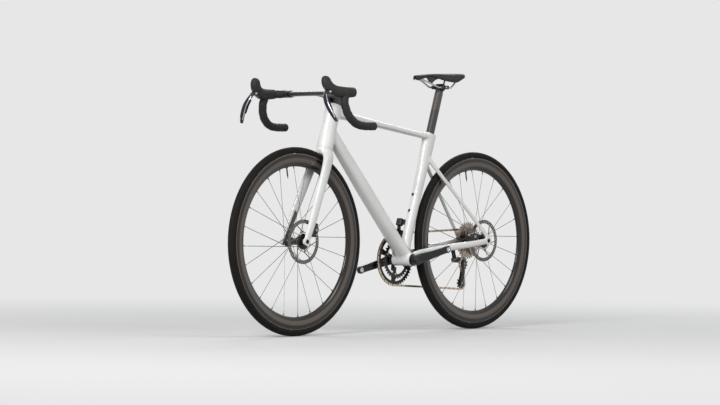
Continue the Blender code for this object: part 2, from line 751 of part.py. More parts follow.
# Stem, bar, tape and levers

def bar_centre():
    base = steer_point((STEM_BOTTOM + STEM_TOP) / 2)
    return Vector((base.x + STEM_LENGTH, 0, BAR_HEIGHT))


def make_headset_cover():
    bore = STEERER_RADIUS + GAP
    top = HEADSET_COVER_HEIGHT
    profile = ((bore, 0), (HEAD_TUBE_RADIUS - 0.0005, 0), (HEAD_TUBE_RADIUS - 0.0055, top), (bore, top))
    place = steer_point(HEAD_TOP + GAP)
    return model("headset_cover", lathe(profile, place, STEER_UP, Y, 16), black_metal())


def make_stem_cap():
    place = steer_point(STEM_TOP + GAP)
    cap = rod(place, place + STEER_UP * 0.0035, 0.0165, 16, 0.0155)
    piece = model("stem_cap", cap, black_metal())
    cut(piece, rod(place + STEER_UP * 0.0018, place + STEER_UP * 0.01, 0.0030, 6))
    return piece


def bar_path():
    """Left half of the bar's centre line, with half sizes fore and aft, then up and down."""
    c = bar_centre()
    w, r, d, f = BAR_HALF_WIDTH, BAR_REACH, BAR_DROP, BAR_FLARE
    top = (BAR_TOP_DEPTH / 2, BAR_TOP_HEIGHT / 2)
    tube = (BAR_RADIUS, BAR_RADIUS)
    return [
        (c, *top), (c + Y * 0.040, *top),
        (c + Vector((0.001, 0.085, 0)), *top), (c + Vector((0.002, w - 0.062, 0)), *top),
        (c + Vector((0.008, w - 0.030, 0)), 0.0150, 0.0115),
        (c + Vector((0.026, w - 0.008, -0.001)), *tube),
        (c + Vector((0.052, w, -0.003)), *tube), (c + Vector((r - 0.012, w + 0.001, -0.010)), *tube),
        (c + Vector((r, w + f * 0.12, -0.030)), *tube),
        (c + Vector((r - 0.002, w + f * 0.36, -d * 0.50)), *tube),
        (c + Vector((r - 0.016, w + f * 0.60, -d * 0.74)), *tube),
        (c + Vector((r - 0.044, w + f * 0.80, -d * 0.93)), *tube),
        (c + Vector((r - 0.080, w + f * 0.92, -d * 1.0)), *tube),
        (c + Vector((r - 0.137, w + f, -d * 1.0)), *tube)]


def curve_point(points, index, share):
    """A point on the smooth line through the points, between two of them."""
    p0, p1 = points[max(index - 1, 0)], points[index]
    p2, p3 = points[index + 1], points[min(index + 2, len(points) - 1)]
    t = share
    return 0.5 * (2 * p1 + (p2 - p0) * t + (2 * p0 - 5 * p1 + 4 * p2 - p3) * t * t
                  + (3 * p1 - p0 - 3 * p2 + p3) * t * t * t)


def bar_line(steps):
    """The left half of the bar as (point, half size fore and aft, half size up and down)."""
    path = bar_path()
    points = [station[0] for station in path]
    line = []
    for index in range(len(path) - 1):
        near, far = path[index], path[index + 1]
        plain = index < TAPE_FIRST or 5 <= index <= 7 or index > len(path) - 4
        count = 1 if plain and steps == 2 else steps
        for step in range(count):
            share = step / count
            line.append((curve_point(points, index, share), near[1] + (far[1] - near[1]) * share,
                         near[2] + (far[2] - near[2]) * share))
    line.append(path[-1])
    return line


def bar_stations(side=1, steps=2):
    """The line with its own fore and high directions, carried outwards from the middle without twist."""
    line = bar_line(steps)
    stations = []
    fore = X
    for index, (point, half_fore, half_high) in enumerate(line):
        before = line[max(index - 1, 0)][0]
        after = line[min(index + 1, len(line) - 1)][0]
        tangent = (after - before).normalized() if index else Y
        fore = (fore - tangent * fore.dot(tangent)).normalized()
        flip = Vector((1, side, 1))
        stations.append((point * flip, fore * flip, tangent.cross(fore) * flip, half_fore, half_high))
    return stations


def bar_skin(stations, grow=0.0, sides=8):
    """A closed tube through the stations, each face split along its shorter diagonal."""
    bm = bmesh.new()
    rings = [section(bm, point, fore, high, half_fore + grow, half_high + grow, 2.2, sides)
             for point, fore, high, half_fore, half_high in stations]
    for near, far in zip(rings, rings[1:]):
        for index in range(sides):
            after = (index + 1) % sides
            a, b, c, d = near[index], near[after], far[after], far[index]
            if (a.co - c.co).length < (b.co - d.co).length:
                bm.faces.new((a, b, c))
                bm.faces.new((a, c, d))
            else:
                bm.faces.new((a, b, d))
                bm.faces.new((b, c, d))
    bm.faces.new(reversed(rings[0]))
    bm.faces.new(rings[-1])
    bmesh.ops.recalc_face_normals(bm, faces=bm.faces)
    return bm


def make_handlebar():
    """One moulded piece: the bar, and the stem that clamps the steerer."""
    right = list(reversed(bar_stations(-1)[1:]))
    bar = model("handlebar", bar_skin(right + bar_stations()), carbon())
    back = steer_point((STEM_BOTTOM + STEM_TOP) / 2)
    front = bar_centre()
    lead = (front - back).normalized()
    post = loft([(steer_point(STEM_BOTTOM), 0.0195, 0.0215, 2.4),
                 (steer_point(STEM_TOP), 0.0190, 0.0205, 2.4)], Y, 16)
    body = loft([(back + lead * 0.004, 0.0180, 0.0120, 2.8), (back + lead * 0.045, 0.0175, 0.0115, 2.8),
                 (front + lead * 0.002, 0.0260, 0.0105, 2.8)], Y, 12)
    join(bar, body, post)
    cut(bar, rod(steer_point(STEM_BOTTOM - 0.01), steer_point(STEM_TOP + 0.01), STEERER_RADIUS + GAP, 16))
    return bar


def tape_shape(side, grow=0.0):
    return bar_skin(bar_stations(side)[TAPE_FIRST:], TAPE_THICKNESS + grow)


def wound_stations(side):
    """Stations along the tape: each turn starts thick over the last one and ends thinner."""
    bare = bar_stations(side, 8)[8 * TAPE_FIRST:]
    lengths = [0.0]
    for near, far in zip(bare, bare[1:]):
        lengths.append(lengths[-1] + (far[0] - near[0]).length)
    total = lengths[-1]
    turns = round(total / TAPE_TURN)
    marks = []
    for turn in range(turns):
        marks.append((total * turn / turns, TAPE_THICKNESS))
        marks.append((total * (turn + 0.86) / turns, TAPE_THICKNESS - TAPE_STEP))
    marks.append((total, TAPE_THICKNESS))
    stations = []
    for place, thickness in marks:
        index = max(i for i in range(len(lengths) - 1) if lengths[i] <= place + 1e-9)
        share = (place - lengths[index]) / (lengths[index + 1] - lengths[index])
        near, far = bare[index], bare[index + 1]
        point, fore, high = [near[i].lerp(far[i], share) for i in range(3)]
        half_fore, half_high = [near[i] + (far[i] - near[i]) * share + thickness for i in (3, 4)]
        stations.append((point, fore.normalized(), high.normalized(), half_fore, half_high))
    return stations


def make_tape(name, side):
    """Cushioned tape wound round the bar, from the outer tops to the bar end."""
    tape = model(name, bar_skin(wound_stations(side)), black_tape())
    full = bar_stations(side)[TAPE_FIRST - 1:]
    end, before = full[-1][0], full[-2][0]
    full[-1] = (end + (end - before).normalized() * 0.01, *full[-1][1:])
    cut(tape, bar_skin(full, 1.5 * GAP))
    return tape


def make_bar_plug(name, side):
    stations = bar_stations(side)
    before, end = stations[-2][0], stations[-1][0]
    along = (end - before).normalized()
    radius = BAR_RADIUS + TAPE_THICKNESS
    start = end + along * GAP
    return model(name, rod(start, start + along * 0.005, radius, 12, radius * 0.8), black_metal())


def hood_shape(side):
    """The lever body and its rubber cover: a grip along the bar that turns up into a horn."""
    c = bar_centre()
    stations = [
        ((0.034, 0.1962, -0.001), 0.0182, 0.0178), ((0.060, 0.1970, -0.002), 0.0185, 0.0188),
        ((0.088, 0.1935, -0.002), 0.0178, 0.0200), ((0.114, 0.1860, 0.001), 0.0168, 0.0205),
        ((0.135, 0.1800, 0.012), 0.0164, 0.0200), ((0.148, 0.1755, 0.027), 0.0158, 0.0180),
        ((0.151, 0.1730, 0.040), 0.0135, 0.0150), ((0.150, 0.1720, 0.048), 0.0075, 0.0085)]
    placed = []
    for (x, y, z), wide, high in stations:
        placed.append((c + Vector((x, y * side, z)), wide, high, 2.3))
    return loft(placed, Y, 10)


def lever_axis_place(side):
    return bar_centre() + Vector((LEVER_REACH, 0.1815 * side, -0.002))


def blade_stations(side):
    """From the pivot down to the tip, leaning outwards along the bar's flare."""
    top = lever_axis_place(side)
    sizes = ((0.000, 0.0, 0.0, 0.0070, 0.0060), (0.014, 0.13, 0.08, 0.0078, 0.0050),
             (0.022, 0.40, 0.36, 0.0072, 0.0042), (0.018, 0.72, 0.70, 0.0066, 0.0040),
             (0.008, 1.0, 1.0, 0.0062, 0.0036))
    stations = []
    for fore, down, out, wide, thick in sizes:
        place = top + Vector((fore, LEVER_FLARE * out * side, -LEVER_LENGTH * down))
        stations.append((place, wide, thick, 2.6))
    return stations


def make_hood(name, side):
    hood = model(name, hood_shape(side), black_rubber())
    cut(hood, tape_shape(side, 5 * GAP))
    place = lever_axis_place(side)
    cut(hood, block(place + Vector((0.012, 0, -0.012)), Vector((0.024, 0.0092, 0.0190))))
    return hood


def make_brake_lever(name, side):
    lever = model(name, loft(blade_stations(side), Y, 10), silver())
    place = lever_axis_place(side)
    join(lever, rod(place - Y * 0.0090, place + Y * 0.0090, 0.0060, 12))
    return lever


def paddle_hinge(side):
    return lever_axis_place(side) + Vector((0.0085, 0.006 * side, -0.022))


def make_shift_paddle(name, side):
    """The shift paddle behind the brake lever's blade."""
    top = paddle_hinge(side)
    sizes = ((0.0, 0.0, 0.0, 0.0055, 0.0030), (0.004, -0.022, 0.014, 0.0085, 0.0018),
             (0.002, -0.046, 0.026, 0.0065, 0.0015))
    stations = [(top + Vector((fore, out * side, down)), wide, thick, 2.4)
                for fore, down, out, wide, thick in sizes]
    return model(name, loft(stations, Y, 8), black_metal())


# Seatpost and saddle

def tilt_centre():
    """The line that the saddle tilts about, level with its rails."""
    return seat_point(SEAT_TUBE_LENGTH + POST_RISE)


def make_seatpost():
    """A hollow post whose head is hollowed to a cradle for the clamp's barrel."""
    bottom = SEAT_TUBE_LENGTH - POST_INSERTION
    top = SEAT_TUBE_LENGTH + POST_RISE
    stations = [post_section(bottom), post_section(top - 0.030), (seat_point(top - 0.006), 0.0115, 0.0150, 2.4)]
    post = model("seatpost", loft(stations, Y, 12), carbon())
    cut(post, loft([(seat_point(bottom - 0.01), POST_WIDTH / 2 - 0.0025, POST_DEPTH / 2 - 0.0025, 2.6),
                    (seat_point(top - 0.040), POST_WIDTH / 2 - 0.0025, POST_DEPTH / 2 - 0.0025, 2.6)], Y, 10))
    cut(post, rod(tilt_centre() - Y * 0.03, tilt_centre() + Y * 0.03, BARREL_RADIUS + 2 * GAP, 20))
    return post


def make_saddle_clamp():
    """A barrel that tilts in the post's cradle, with a gripping plate round each rail."""
    centre = tilt_centre()
    clamp = model("saddle_clamp", rod(centre - Y * 0.0150, centre + Y * 0.0150, BARREL_RADIUS, 20), black_metal())
    outer = RAIL_SPREAD + RAIL_RADIUS + 0.0045
    inner = 0.0140
    for side in (1, -1):
        middle = centre + Y * side * (outer + inner) / 2
        join(clamp, block(middle, Vector((0.0175, (outer - inner) / 2, 0.0068))))
        start = centre + Vector((-0.05, side * RAIL_SPREAD, 0))
        cut(clamp, rod(start, start + X * 0.1, RAIL_RADIUS + GAP, 10))
    return clamp


def saddle_place():
    """The saddle's middle, above the post's head."""
    return tilt_centre() + Vector((SADDLE_SETBACK, 0, SADDLE_STACK))


def eased(low, high, value):
    """0 below the low value and 1 above the high one, with a smooth rise between."""
    share = min(max((value - low) / (high - low), 0.0), 1.0)
    return share * share * (3 - 2 * share)


def saddle_share(along):
    """Half width, top height and skirt depth at a share of the length from the nose."""
    nose = 0.0205
    width = nose + (SADDLE_WIDTH / 2 - nose) * eased(0.28, 0.86, along)
    if along > 0.84:
        width -= 0.030 * ((along - 0.84) / 0.16) ** 2
    if along < 0.10:
        width = nose * (0.40 + 0.60 * math.sin(math.pi / 2 * along / 0.10))
    top = -0.0100 + 0.0110 * eased(-0.1, 0.55, along) + 0.0035 * eased(0.5, 1.0, along)
    skirt = 0.0210 - 0.0045 * eased(0.05, 0.35, along) + 0.0150 * eased(0.35, 0.80, along)
    skirt -= 0.0180 * eased(0.84, 1.0, along)
    return width, top, skirt


def make_saddle():
    """A padded saddle: crowned top, dropped sides and a channel along the middle."""
    centre = saddle_place()
    bm = bmesh.new()
    rings = []
    steps = 15
    shape = ((-1.0, 1.0), (-0.98, 0.62), (-0.88, 0.26), (-0.62, 0.07), (-0.32, 0.0), (-0.12, 0.03),
             (0.0, 0.13), (0.12, 0.03), (0.32, 0.0), (0.62, 0.07), (0.88, 0.26), (0.98, 0.62), (1.0, 1.0),
             (0.84, 0.72), (0.0, 0.62), (-0.84, 0.72))
    for index in range(steps):
        along = index / (steps - 1)
        width, top, skirt = saddle_share(along)
        x = centre.x + SADDLE_LENGTH / 2 - SADDLE_LENGTH * along
        rings.append([bm.verts.new((x, side * width, centre.z + top - skirt * down)) for side, down in shape])
    for near, far in zip(rings, rings[1:]):
        for index in range(len(shape)):
            after = (index + 1) % len(shape)
            bm.faces.new((near[index], near[after], far[after], far[index]))
    bm.faces.new(reversed(rings[0]))
    bm.faces.new(rings[-1])
    return model("saddle", bm, finish("saddle_cover", (0.03, 0.03, 0.03), 0.55))


def rail_height(along, across):
    """The height of a rail's centre where it rests under the shell, at shares of its size."""
    _, top, skirt = saddle_share(along)
    return saddle_place().z + top - skirt * (0.62 + 0.12 * across) - RAIL_RADIUS


def make_saddle_rails():
    """One bent pair of rails: from the tail sockets, through the clamp, round the nose."""
    centre = saddle_place()
    head = tilt_centre()
    z = head.z
    tail_share, nose_share = 0.91, 0.10
    rear = Vector((centre.x + SADDLE_LENGTH * (0.5 - tail_share), RAIL_SPREAD + 0.010, rail_height(tail_share, 0.5)))
    nose = Vector((centre.x + SADDLE_LENGTH * (0.5 - nose_share), 0, rail_height(nose_share, 0.4)))
    left = [rear, Vector((head.x - 0.0410, RAIL_SPREAD, z + 0.0020)), Vector((head.x - 0.0290, RAIL_SPREAD, z)),
            Vector((head.x + 0.0290, RAIL_SPREAD, z)), Vector((head.x + 0.0430, RAIL_SPREAD - 0.001, z + 0.0020)),
            nose + Vector((-0.030, 0.010, -0.0055)), nose + Vector((-0.008, 0.008, 0)), nose]
    points = left + [Vector((p.x, -p.y, p.z)) for p in reversed(left[:-1])]
    curve = bpy.data.curves.new("saddle_rails", "CURVE")
    curve.dimensions = "3D"
    curve.bevel_depth = RAIL_RADIUS
    curve.bevel_resolution = 1
    curve.use_fill_caps = True
    spline = curve.splines.new("POLY")
    spline.points.add(len(points) - 1)
    for point, place in zip(spline.points, points):
        point.co = (*place, 1)
    rails = bpy.data.objects.new("saddle_rails", curve)
    bpy.context.scene.collection.objects.link(rails)
    curve.materials.append(steel())
    return rails


# Drivetrain

def toothed_outline(teeth, centre, first=0.0):
    """A sprocket's outline of (x, z) points, with a gap at the first angle."""
    pitch = pitch_radius(teeth)
    root, tip = pitch - TOOTH_ROOT, pitch + TOOTH_HEIGHT
    points = []
    for tooth in range(teeth):
        for share, radius in ((0.0, root), (0.5, tip)):
            angle = first + 2 * math.pi * (tooth + share) / teeth
            points.append((centre.x + radius * math.cos(angle), centre.z + radius * math.sin(angle)))
    return points


def ring_plane(index):
    """0 is the outer ring, in the chain's plane; 1 is the inner ring."""
    return CHAIN_Y + index * RING_SPACING


def ring_hole(teeth):
    """The inner edge of a chainring, with four tabs that reach in to the spider's bolts."""
    hole = pitch_radius(teeth) - 0.0160
    tab = SPIDER_BOLT_RADIUS - 0.0080
    wide = math.asin(0.0115 / hole)
    narrow = math.asin(0.0075 / tab)
    places = []
    for arm in range(4):
        angle = spider_angle(arm)
        after = spider_angle(arm + 1) + (2 * math.pi if arm == 3 else 0)
        places += [(tab, angle - narrow), (tab, angle + narrow)]
        start, end = angle + wide, after - wide
        places += [(hole, start + (end - start) * step / 4) for step in range(5)]
    return [(BB.x + radius * math.cos(angle), BB.z + radius * math.sin(angle)) for radius, angle in places]


def make_chainring(name, teeth, index, first):
    y = ring_plane(index)
    half = TOOTH_HALF_THICKNESS
    ring = model(name, prism(toothed_outline(teeth, BB, first), y - half, y + half), black_metal())
    cut(ring, prism(ring_hole(teeth), y - 0.01, y + 0.01))
    return ring


def spider_angle(arm):
    return -CRANK_ANGLE + math.radians((35, 110, 215, 290)[arm % 4])


def crank_direction():
    return Vector((math.cos(CRANK_ANGLE), 0, -math.sin(CRANK_ANGLE)))


def arm_shape(direction, side, sides=12):
    """A crank arm from the spindle boss to the pedal eye."""
    eye = CRANK_OUTSIDE - CRANK_THICKNESS / 2
    stations = []
    for share, y, height, wide in ((0.0, 0.0625, 0.0190, 0.0085), (0.30, 0.0650, 0.0170, 0.0080),
                                   (0.70, eye - 0.001, 0.0140, 0.0075), (1.0, eye, 0.0135, CRANK_THICKNESS / 2)):
        stations.append((BB + direction * CRANK_LENGTH * share + Y * y * side, wide, height, 3.0))
    return loft(stations, Y, sides)


def make_crank(name, side):
    direction = crank_direction() * (-side)
    crank = model(name, arm_shape(direction, side), black_metal())
    inner = BB_SHELL_WIDTH / 2 + 0.0028 + GAP
    boss = rod(BB + Y * inner * side, BB + Y * 0.0715 * side, 0.0195, 20)
    end = BB + direction * CRANK_LENGTH
    eye = rod(end + Y * (CRANK_OUTSIDE - CRANK_THICKNESS) * side, end + Y * CRANK_OUTSIDE * side, 0.0140, 16)
    join(crank, boss, eye)
    if side < 0:
        add_spider(crank)
    cut(crank, rod(end + Y * 0.05 * side, end + Y * 0.09 * side, PEDAL_HOLE_RADIUS, 14))
    cut(crank, rod(BB + Y * 0.03 * side, BB + Y * 0.0675 * side, SPINDLE_RADIUS + GAP, 16))
    return crank


def add_spider(crank):
    """Four arms that step inwards round the outer ring and end between the two rings."""
    inside = ring_plane(0) + TOOTH_HALF_THICKNESS + GAP
    outside = ring_plane(1) - TOOTH_HALF_THICKNESS - GAP
    step = SPIDER_BOLT_RADIUS - 0.0105
    outline = ((0.0165, -0.0570), (step - 0.005, -0.0560), (step, -0.0520), (step, inside),
               (SPIDER_BOLT_RADIUS + 0.006, inside), (SPIDER_BOLT_RADIUS + 0.006, outside),
               (0.0290, outside), (0.0290, -0.0485), (0.0165, -0.0485))
    for arm in range(4):
        bm = bmesh.new()
        face = bm.faces.new([bm.verts.new((radius, y, -0.0070)) for radius, y in outline])
        grown = bmesh.ops.extrude_face_region(bm, geom=[face])
        moved = [part for part in grown["geom"] if isinstance(part, bmesh.types.BMVert)]
        bmesh.ops.translate(bm, vec=Z * 0.0140, verts=moved)
        turn = Matrix.Translation(BB) @ Matrix.Rotation(-spider_angle(arm), 4, "Y")
        bmesh.ops.transform(bm, matrix=turn, verts=bm.verts)
        join(crank, bm)


def make_spindle():
    bar = rod(BB - Y * 0.0670, BB + Y * 0.0670, SPINDLE_RADIUS, 16)
    spindle = model("crank_spindle", bar, steel())
    cut(spindle, rod(BB - Y * 0.08, BB + Y * 0.08, SPINDLE_RADIUS - 0.003, 12))
    return spindle


def sprocket_plane(teeth):
    """The side position of a sprocket, with the chain's one in the chain's plane."""
    shift = SPROCKETS.index(teeth) - SPROCKETS.index(CHAIN_SPROCKET)
    return CHAIN_Y + shift * SPROCKET_SPACING


def make_cassette():
    """Eleven sprockets on one freehub body, turned as steps of a single profile."""
    half = TOOTH_HALF_THICKNESS
    bore = HUB_END_RADIUS + 2 * GAP
    core = 0.0175
    outer = sprocket_plane(SPROCKETS[0])
    profile = [(bore, outer - 0.0025), (core - 0.002, outer - 0.0025), (core - 0.002, outer - half)]
    for teeth in SPROCKETS:
        y = sprocket_plane(teeth)
        rim = pitch_radius(teeth) + 0.0010
        profile += [(rim, y - half), (rim, y + half), (min(core, rim - 0.004), y + SPROCKET_SPACING / 2)]
    end = REAR_FLANGES[1] - FLANGE_WIDTH / 2 - GAP
    profile += [(core, end), (bore, end)]
    return model("cassette", lathe(profile, REAR_AXLE, Y, -Z, 12), steel())


GUIDE_CENTRE = REAR_AXLE + Vector((0.003, 0, -0.090))


def tension_centre(angle):
    return GUIDE_CENTRE + Vector((math.cos(angle), 0, math.sin(angle))) * CAGE_LENGTH


def chain_circles(angle):
    """Centre, pitch radius, teeth and turning sense of each wheel along the chain."""
    return [(BB, pitch_radius(OUTER_RING_TEETH), OUTER_RING_TEETH, -1),
            (tension_centre(angle), pitch_radius(PULLEY_TEETH), PULLEY_TEETH, -1),
            (GUIDE_CENTRE, pitch_radius(PULLEY_TEETH), PULLEY_TEETH, 1),
            (REAR_AXLE, pitch_radius(CHAIN_SPROCKET), CHAIN_SPROCKET, -1)]


def run_angles(circles):
    """The direction of each straight run, from one wheel to the next."""
    angles = []
    for index, (centre, radius, _, sense) in enumerate(circles):
        after, other_radius, _, other_sense = circles[(index + 1) % len(circles)]
        across = after - centre
        length = math.hypot(across.x, across.z)
        lean = math.asin((other_sense * other_radius - sense * radius) / length)
        angles.append(math.atan2(across.z, across.x) - lean)
    return angles


def touch_point(circle, angle):
    centre, radius, _, sense = circle
    normal = Vector((-math.sin(angle), 0, math.cos(angle)))
    return centre - normal * radius * sense


def wrap_angle(circle, arriving, leaving):
    return ((leaving - arriving) * circle[3]) % (2 * math.pi)


def link_count(angle):
    circles = chain_circles(angle)
    runs = run_angles(circles)
    total = 0.0
    for index, circle in enumerate(circles):
        total += wrap_angle(circle, runs[index - 1], runs[index]) * circle[2] / (2 * math.pi)
        after = circles[(index + 1) % len(circles)]
        run = touch_point(after, runs[index]) - touch_point(circle, runs[index])
        total += run.length / CHAIN_PITCH
    return total


def cage_angle():
    """Swings the pulley cage until the chain has a whole, even number of links."""
    start = math.radians(-76)
    wanted = 2 * round(link_count(start) / 2)
    low, high = start - math.radians(25), start + math.radians(25)
    rising = link_count(high) > link_count(low)
    for _ in range(60):
        middle = (low + high) / 2
        if (link_count(middle) < wanted) == rising:
            low = middle
        else:
            high = middle
    return (low + high) / 2


def chain_loop():
    """Points and normals along the chain's pitch line, and whether the next piece is solid."""
    circles = chain_circles(cage_angle())
    runs = run_angles(circles)
    loop = []
    for index, circle in enumerate(circles):
        arriving = runs[index - 1]
        leaving = runs[index]
        wrap = wrap_angle(circle, arriving, leaving)
        steps = max(2, math.ceil(wrap / math.radians(24)))
        for step in range(steps + 1):
            angle = arriving + circle[3] * wrap * step / steps
            loop.append((touch_point(circle, angle), angle, False))
        after = circles[(index + 1) % len(circles)]
        along = Vector((math.cos(leaving), 0, math.sin(leaving)))
        start = touch_point(circle, leaving) + along * tooth_clearance(circle[1])
        end = touch_point(after, leaving) - along * tooth_clearance(after[1])
        loop.append((start, leaving, True))
        loop.append((end, leaving, False))
    return loop


def tooth_clearance(radius):
    """How far along a straight run the teeth of a wheel still reach between the plates."""
    tip = radius + TOOTH_HEIGHT + 0.001
    return math.sqrt(tip ** 2 - (radius - CHAIN_HALF_HEIGHT) ** 2)


def make_chain():
    """The chain as two side bands, joined between them wherever no tooth reaches in."""
    bm = bmesh.new()
    loop = chain_loop()
    rings = []
    for point, angle, _ in loop:
        base = point + Y * CHAIN_Y
        normal = Vector((-math.sin(angle), 0, math.cos(angle)))
        ring = []
        for y in (-CHAIN_HALF_WIDTH, -CHAIN_SLOT, CHAIN_SLOT, CHAIN_HALF_WIDTH):
            ring.append([bm.verts.new(base + Y * y + normal * CHAIN_HALF_HEIGHT * u) for u in (-1, 1)])
        rings.append(ring)
    for index, near in enumerate(rings):
        far = rings[(index + 1) % len(rings)]
        solid = loop[index][2]
        for strip in range(3):
            if strip != 1 or solid:
                for u in (0, 1):
                    bm.faces.new((near[strip][u], near[strip + 1][u], far[strip + 1][u], far[strip][u]))
        for edge in range(4):
            if edge in (0, 3) or not solid:
                bm.faces.new((near[edge][0], near[edge][1], far[edge][1], far[edge][0]))
        if solid:
            for end in (near, far):
                bm.faces.new((end[1][0], end[2][0], end[2][1], end[1][1]))
    return model("chain", bm, steel())


def make_pulley(name, centre):
    half = TOOTH_HALF_THICKNESS
    place = centre + Y * CHAIN_Y
    tip = pitch_radius(PULLEY_TEETH) + TOOTH_HEIGHT - 0.0010
    profile = ((0.0028, -0.0035), (0.0080, -0.0035), (0.0080, -half), (tip, -half),
               (tip, half), (0.0080, half), (0.0080, 0.0035), (0.0028, 0.0035))
    return model(name, lathe(profile, place, Y, -Z, 12), black_metal())


def make_cage(tension):
    """Two plates held together by the pulley bolts."""
    gap = 0.0038
    thickness = 0.0018
    along = (tension - GUIDE_CENTRE).normalized()
    across = Vector((along.z, 0, -along.x))
    outline = []
    for place, turn in ((GUIDE_CENTRE, -1), (tension, 1)):
        for angle in (-90, -45, 0, 45, 90):
            a = math.radians(angle)
            point = place + along * turn * math.cos(a) * 0.0125 + across * turn * math.sin(a) * 0.0105
            outline.append((point.x, point.z))
    outer = prism(outline, CHAIN_Y - gap - thickness, CHAIN_Y - gap)
    cage = model("derailleur_cage", outer, black_metal())
    join(cage, prism(outline, CHAIN_Y + gap, CHAIN_Y + gap + thickness))
    for place in (GUIDE_CENTRE, tension):
        base = place + Y * CHAIN_Y
        join(cage, rod(base - Y * (gap + thickness + 0.0008), base + Y * (gap + thickness + 0.0008), 0.0025, 10))
    return cage


def make_rear_derailleur():
    """Mount knuckle on the hanger, two links, cage knuckle, cage and two pulleys."""
    bolt = hanger_bolt()
    outer = -REAR_HUB_WIDTH / 2 - DROPOUT_THICKNESS - GAP - 0.0050 - GAP
    knuckle = model("derailleur_mount_knuckle",
                    rod(bolt + Y * outer, bolt + Y * (outer - 0.0130), 0.0105, 16), black_metal())
    forward = bolt + Vector((0.0180, 0, -0.0060))
    arm = loft([(bolt + Y * (outer - 0.0065), 0.0060, 0.0080, 2.6),
                (forward + Y * (outer - 0.0065), 0.0060, 0.0070, 2.6)], Y, 10)
    join(knuckle, arm)
    guide = GUIDE_CENTRE + Vector((0.0060, 0, 0.0140))
    link_top = forward + Vector((0.0030, 0, -0.0085))
    link_foot = guide + (link_top - guide).normalized() * 0.0118
    for name, y in (("derailleur_outer_link", outer - 0.0100), ("derailleur_inner_link", outer - 0.0025)):
        stations = [(link_top + Y * y, 0.0028, 0.0075, 3.0), (link_foot + Y * (y + 0.004), 0.0028, 0.0070, 3.0)]
        model(name, loft(stations, Y, 10), black_metal())
    y_low = CHAIN_Y - 0.0038 - 0.0018 - 0.0008 - GAP
    cage_knuckle = model("derailleur_cage_knuckle",
                      rod(guide + Y * (y_low - 0.0010), guide + Y * (outer - 0.0105), 0.0110, 16), black_metal())
    boss = GUIDE_CENTRE + Vector((0.0030, 0, 0.0040))
    join(cage_knuckle, rod(boss + Y * y_low, boss + Y * (y_low - 0.0090), 0.0085, 14))
    tension = tension_centre(cage_angle())
    make_cage(tension)
    pulleys = (make_pulley("guide_pulley", GUIDE_CENTRE), make_pulley("tension_pulley", tension))
    return pulleys, tension


def front_derailleur_body(grow=0.0):
    """The rounded block beside the seat tube, above the outer ring."""
    height = pitch_radius(OUTER_RING_TEETH) + TOOTH_HEIGHT + 0.0395
    place = BB + Vector((-0.016, CAGE_BODY_Y, height))
    half = Vector((0.0095 + grow, 0.0125 + grow, 0.0145 + grow))
    body = block(place, half, CAGE_BODY_TURN)
    bmesh.ops.bevel(body, geom=body.edges[:], offset=0.004, segments=1, affect="EDGES", profile=0.5)
    return body, place


def make_front_derailleur():
    """A body that bolts to the seat tube's side, and its cage over the chain."""
    body, place = front_derailleur_body()
    mount = model("front_derailleur", body, black_metal())
    reach = BB_SHELL_WIDTH / 2 - 0.0140
    foot = Vector((place.x - 0.0080, -(reach + 0.0165) / 2, place.z))
    join(mount, block(foot, Vector((0.0075, (reach - 0.0165) / 2, 0.0090)), CAGE_BODY_TURN))
    cut(mount, seat_tube(GAP))
    inner, outer = CHAIN_Y + 0.0072, CHAIN_Y - 0.0085
    radius = pitch_radius(OUTER_RING_TEETH)
    outline = []
    for angle in (78, 92, 106, 120):
        a = math.radians(angle)
        outline.append((BB.x + (radius + 0.0165) * math.cos(a), BB.z + (radius + 0.0165) * math.sin(a)))
    for angle in (126, 112, 98, 84):
        a = math.radians(angle)
        outline.append((BB.x + (radius - 0.006) * math.cos(a), BB.z + (radius - 0.006) * math.sin(a)))
    cage = model("front_derailleur_cage", prism(outline, inner - 0.0014, inner), silver())
    join(cage, prism(outline, outer, outer + 0.0014))
    top = BB + Vector((-0.012, (inner + outer) / 2, radius + 0.0145))
    join(cage, block(top, Vector((0.0100, (inner - outer) / 2, 0.0016)), math.radians(-8)))
    link = Vector((place.x, place.y - 0.0040, (top.z + place.z) / 2))
    join(cage, block(link, Vector((0.0050, 0.0050, (place.z - top.z) / 2))))
    cut(cage, front_derailleur_body(GAP)[0])


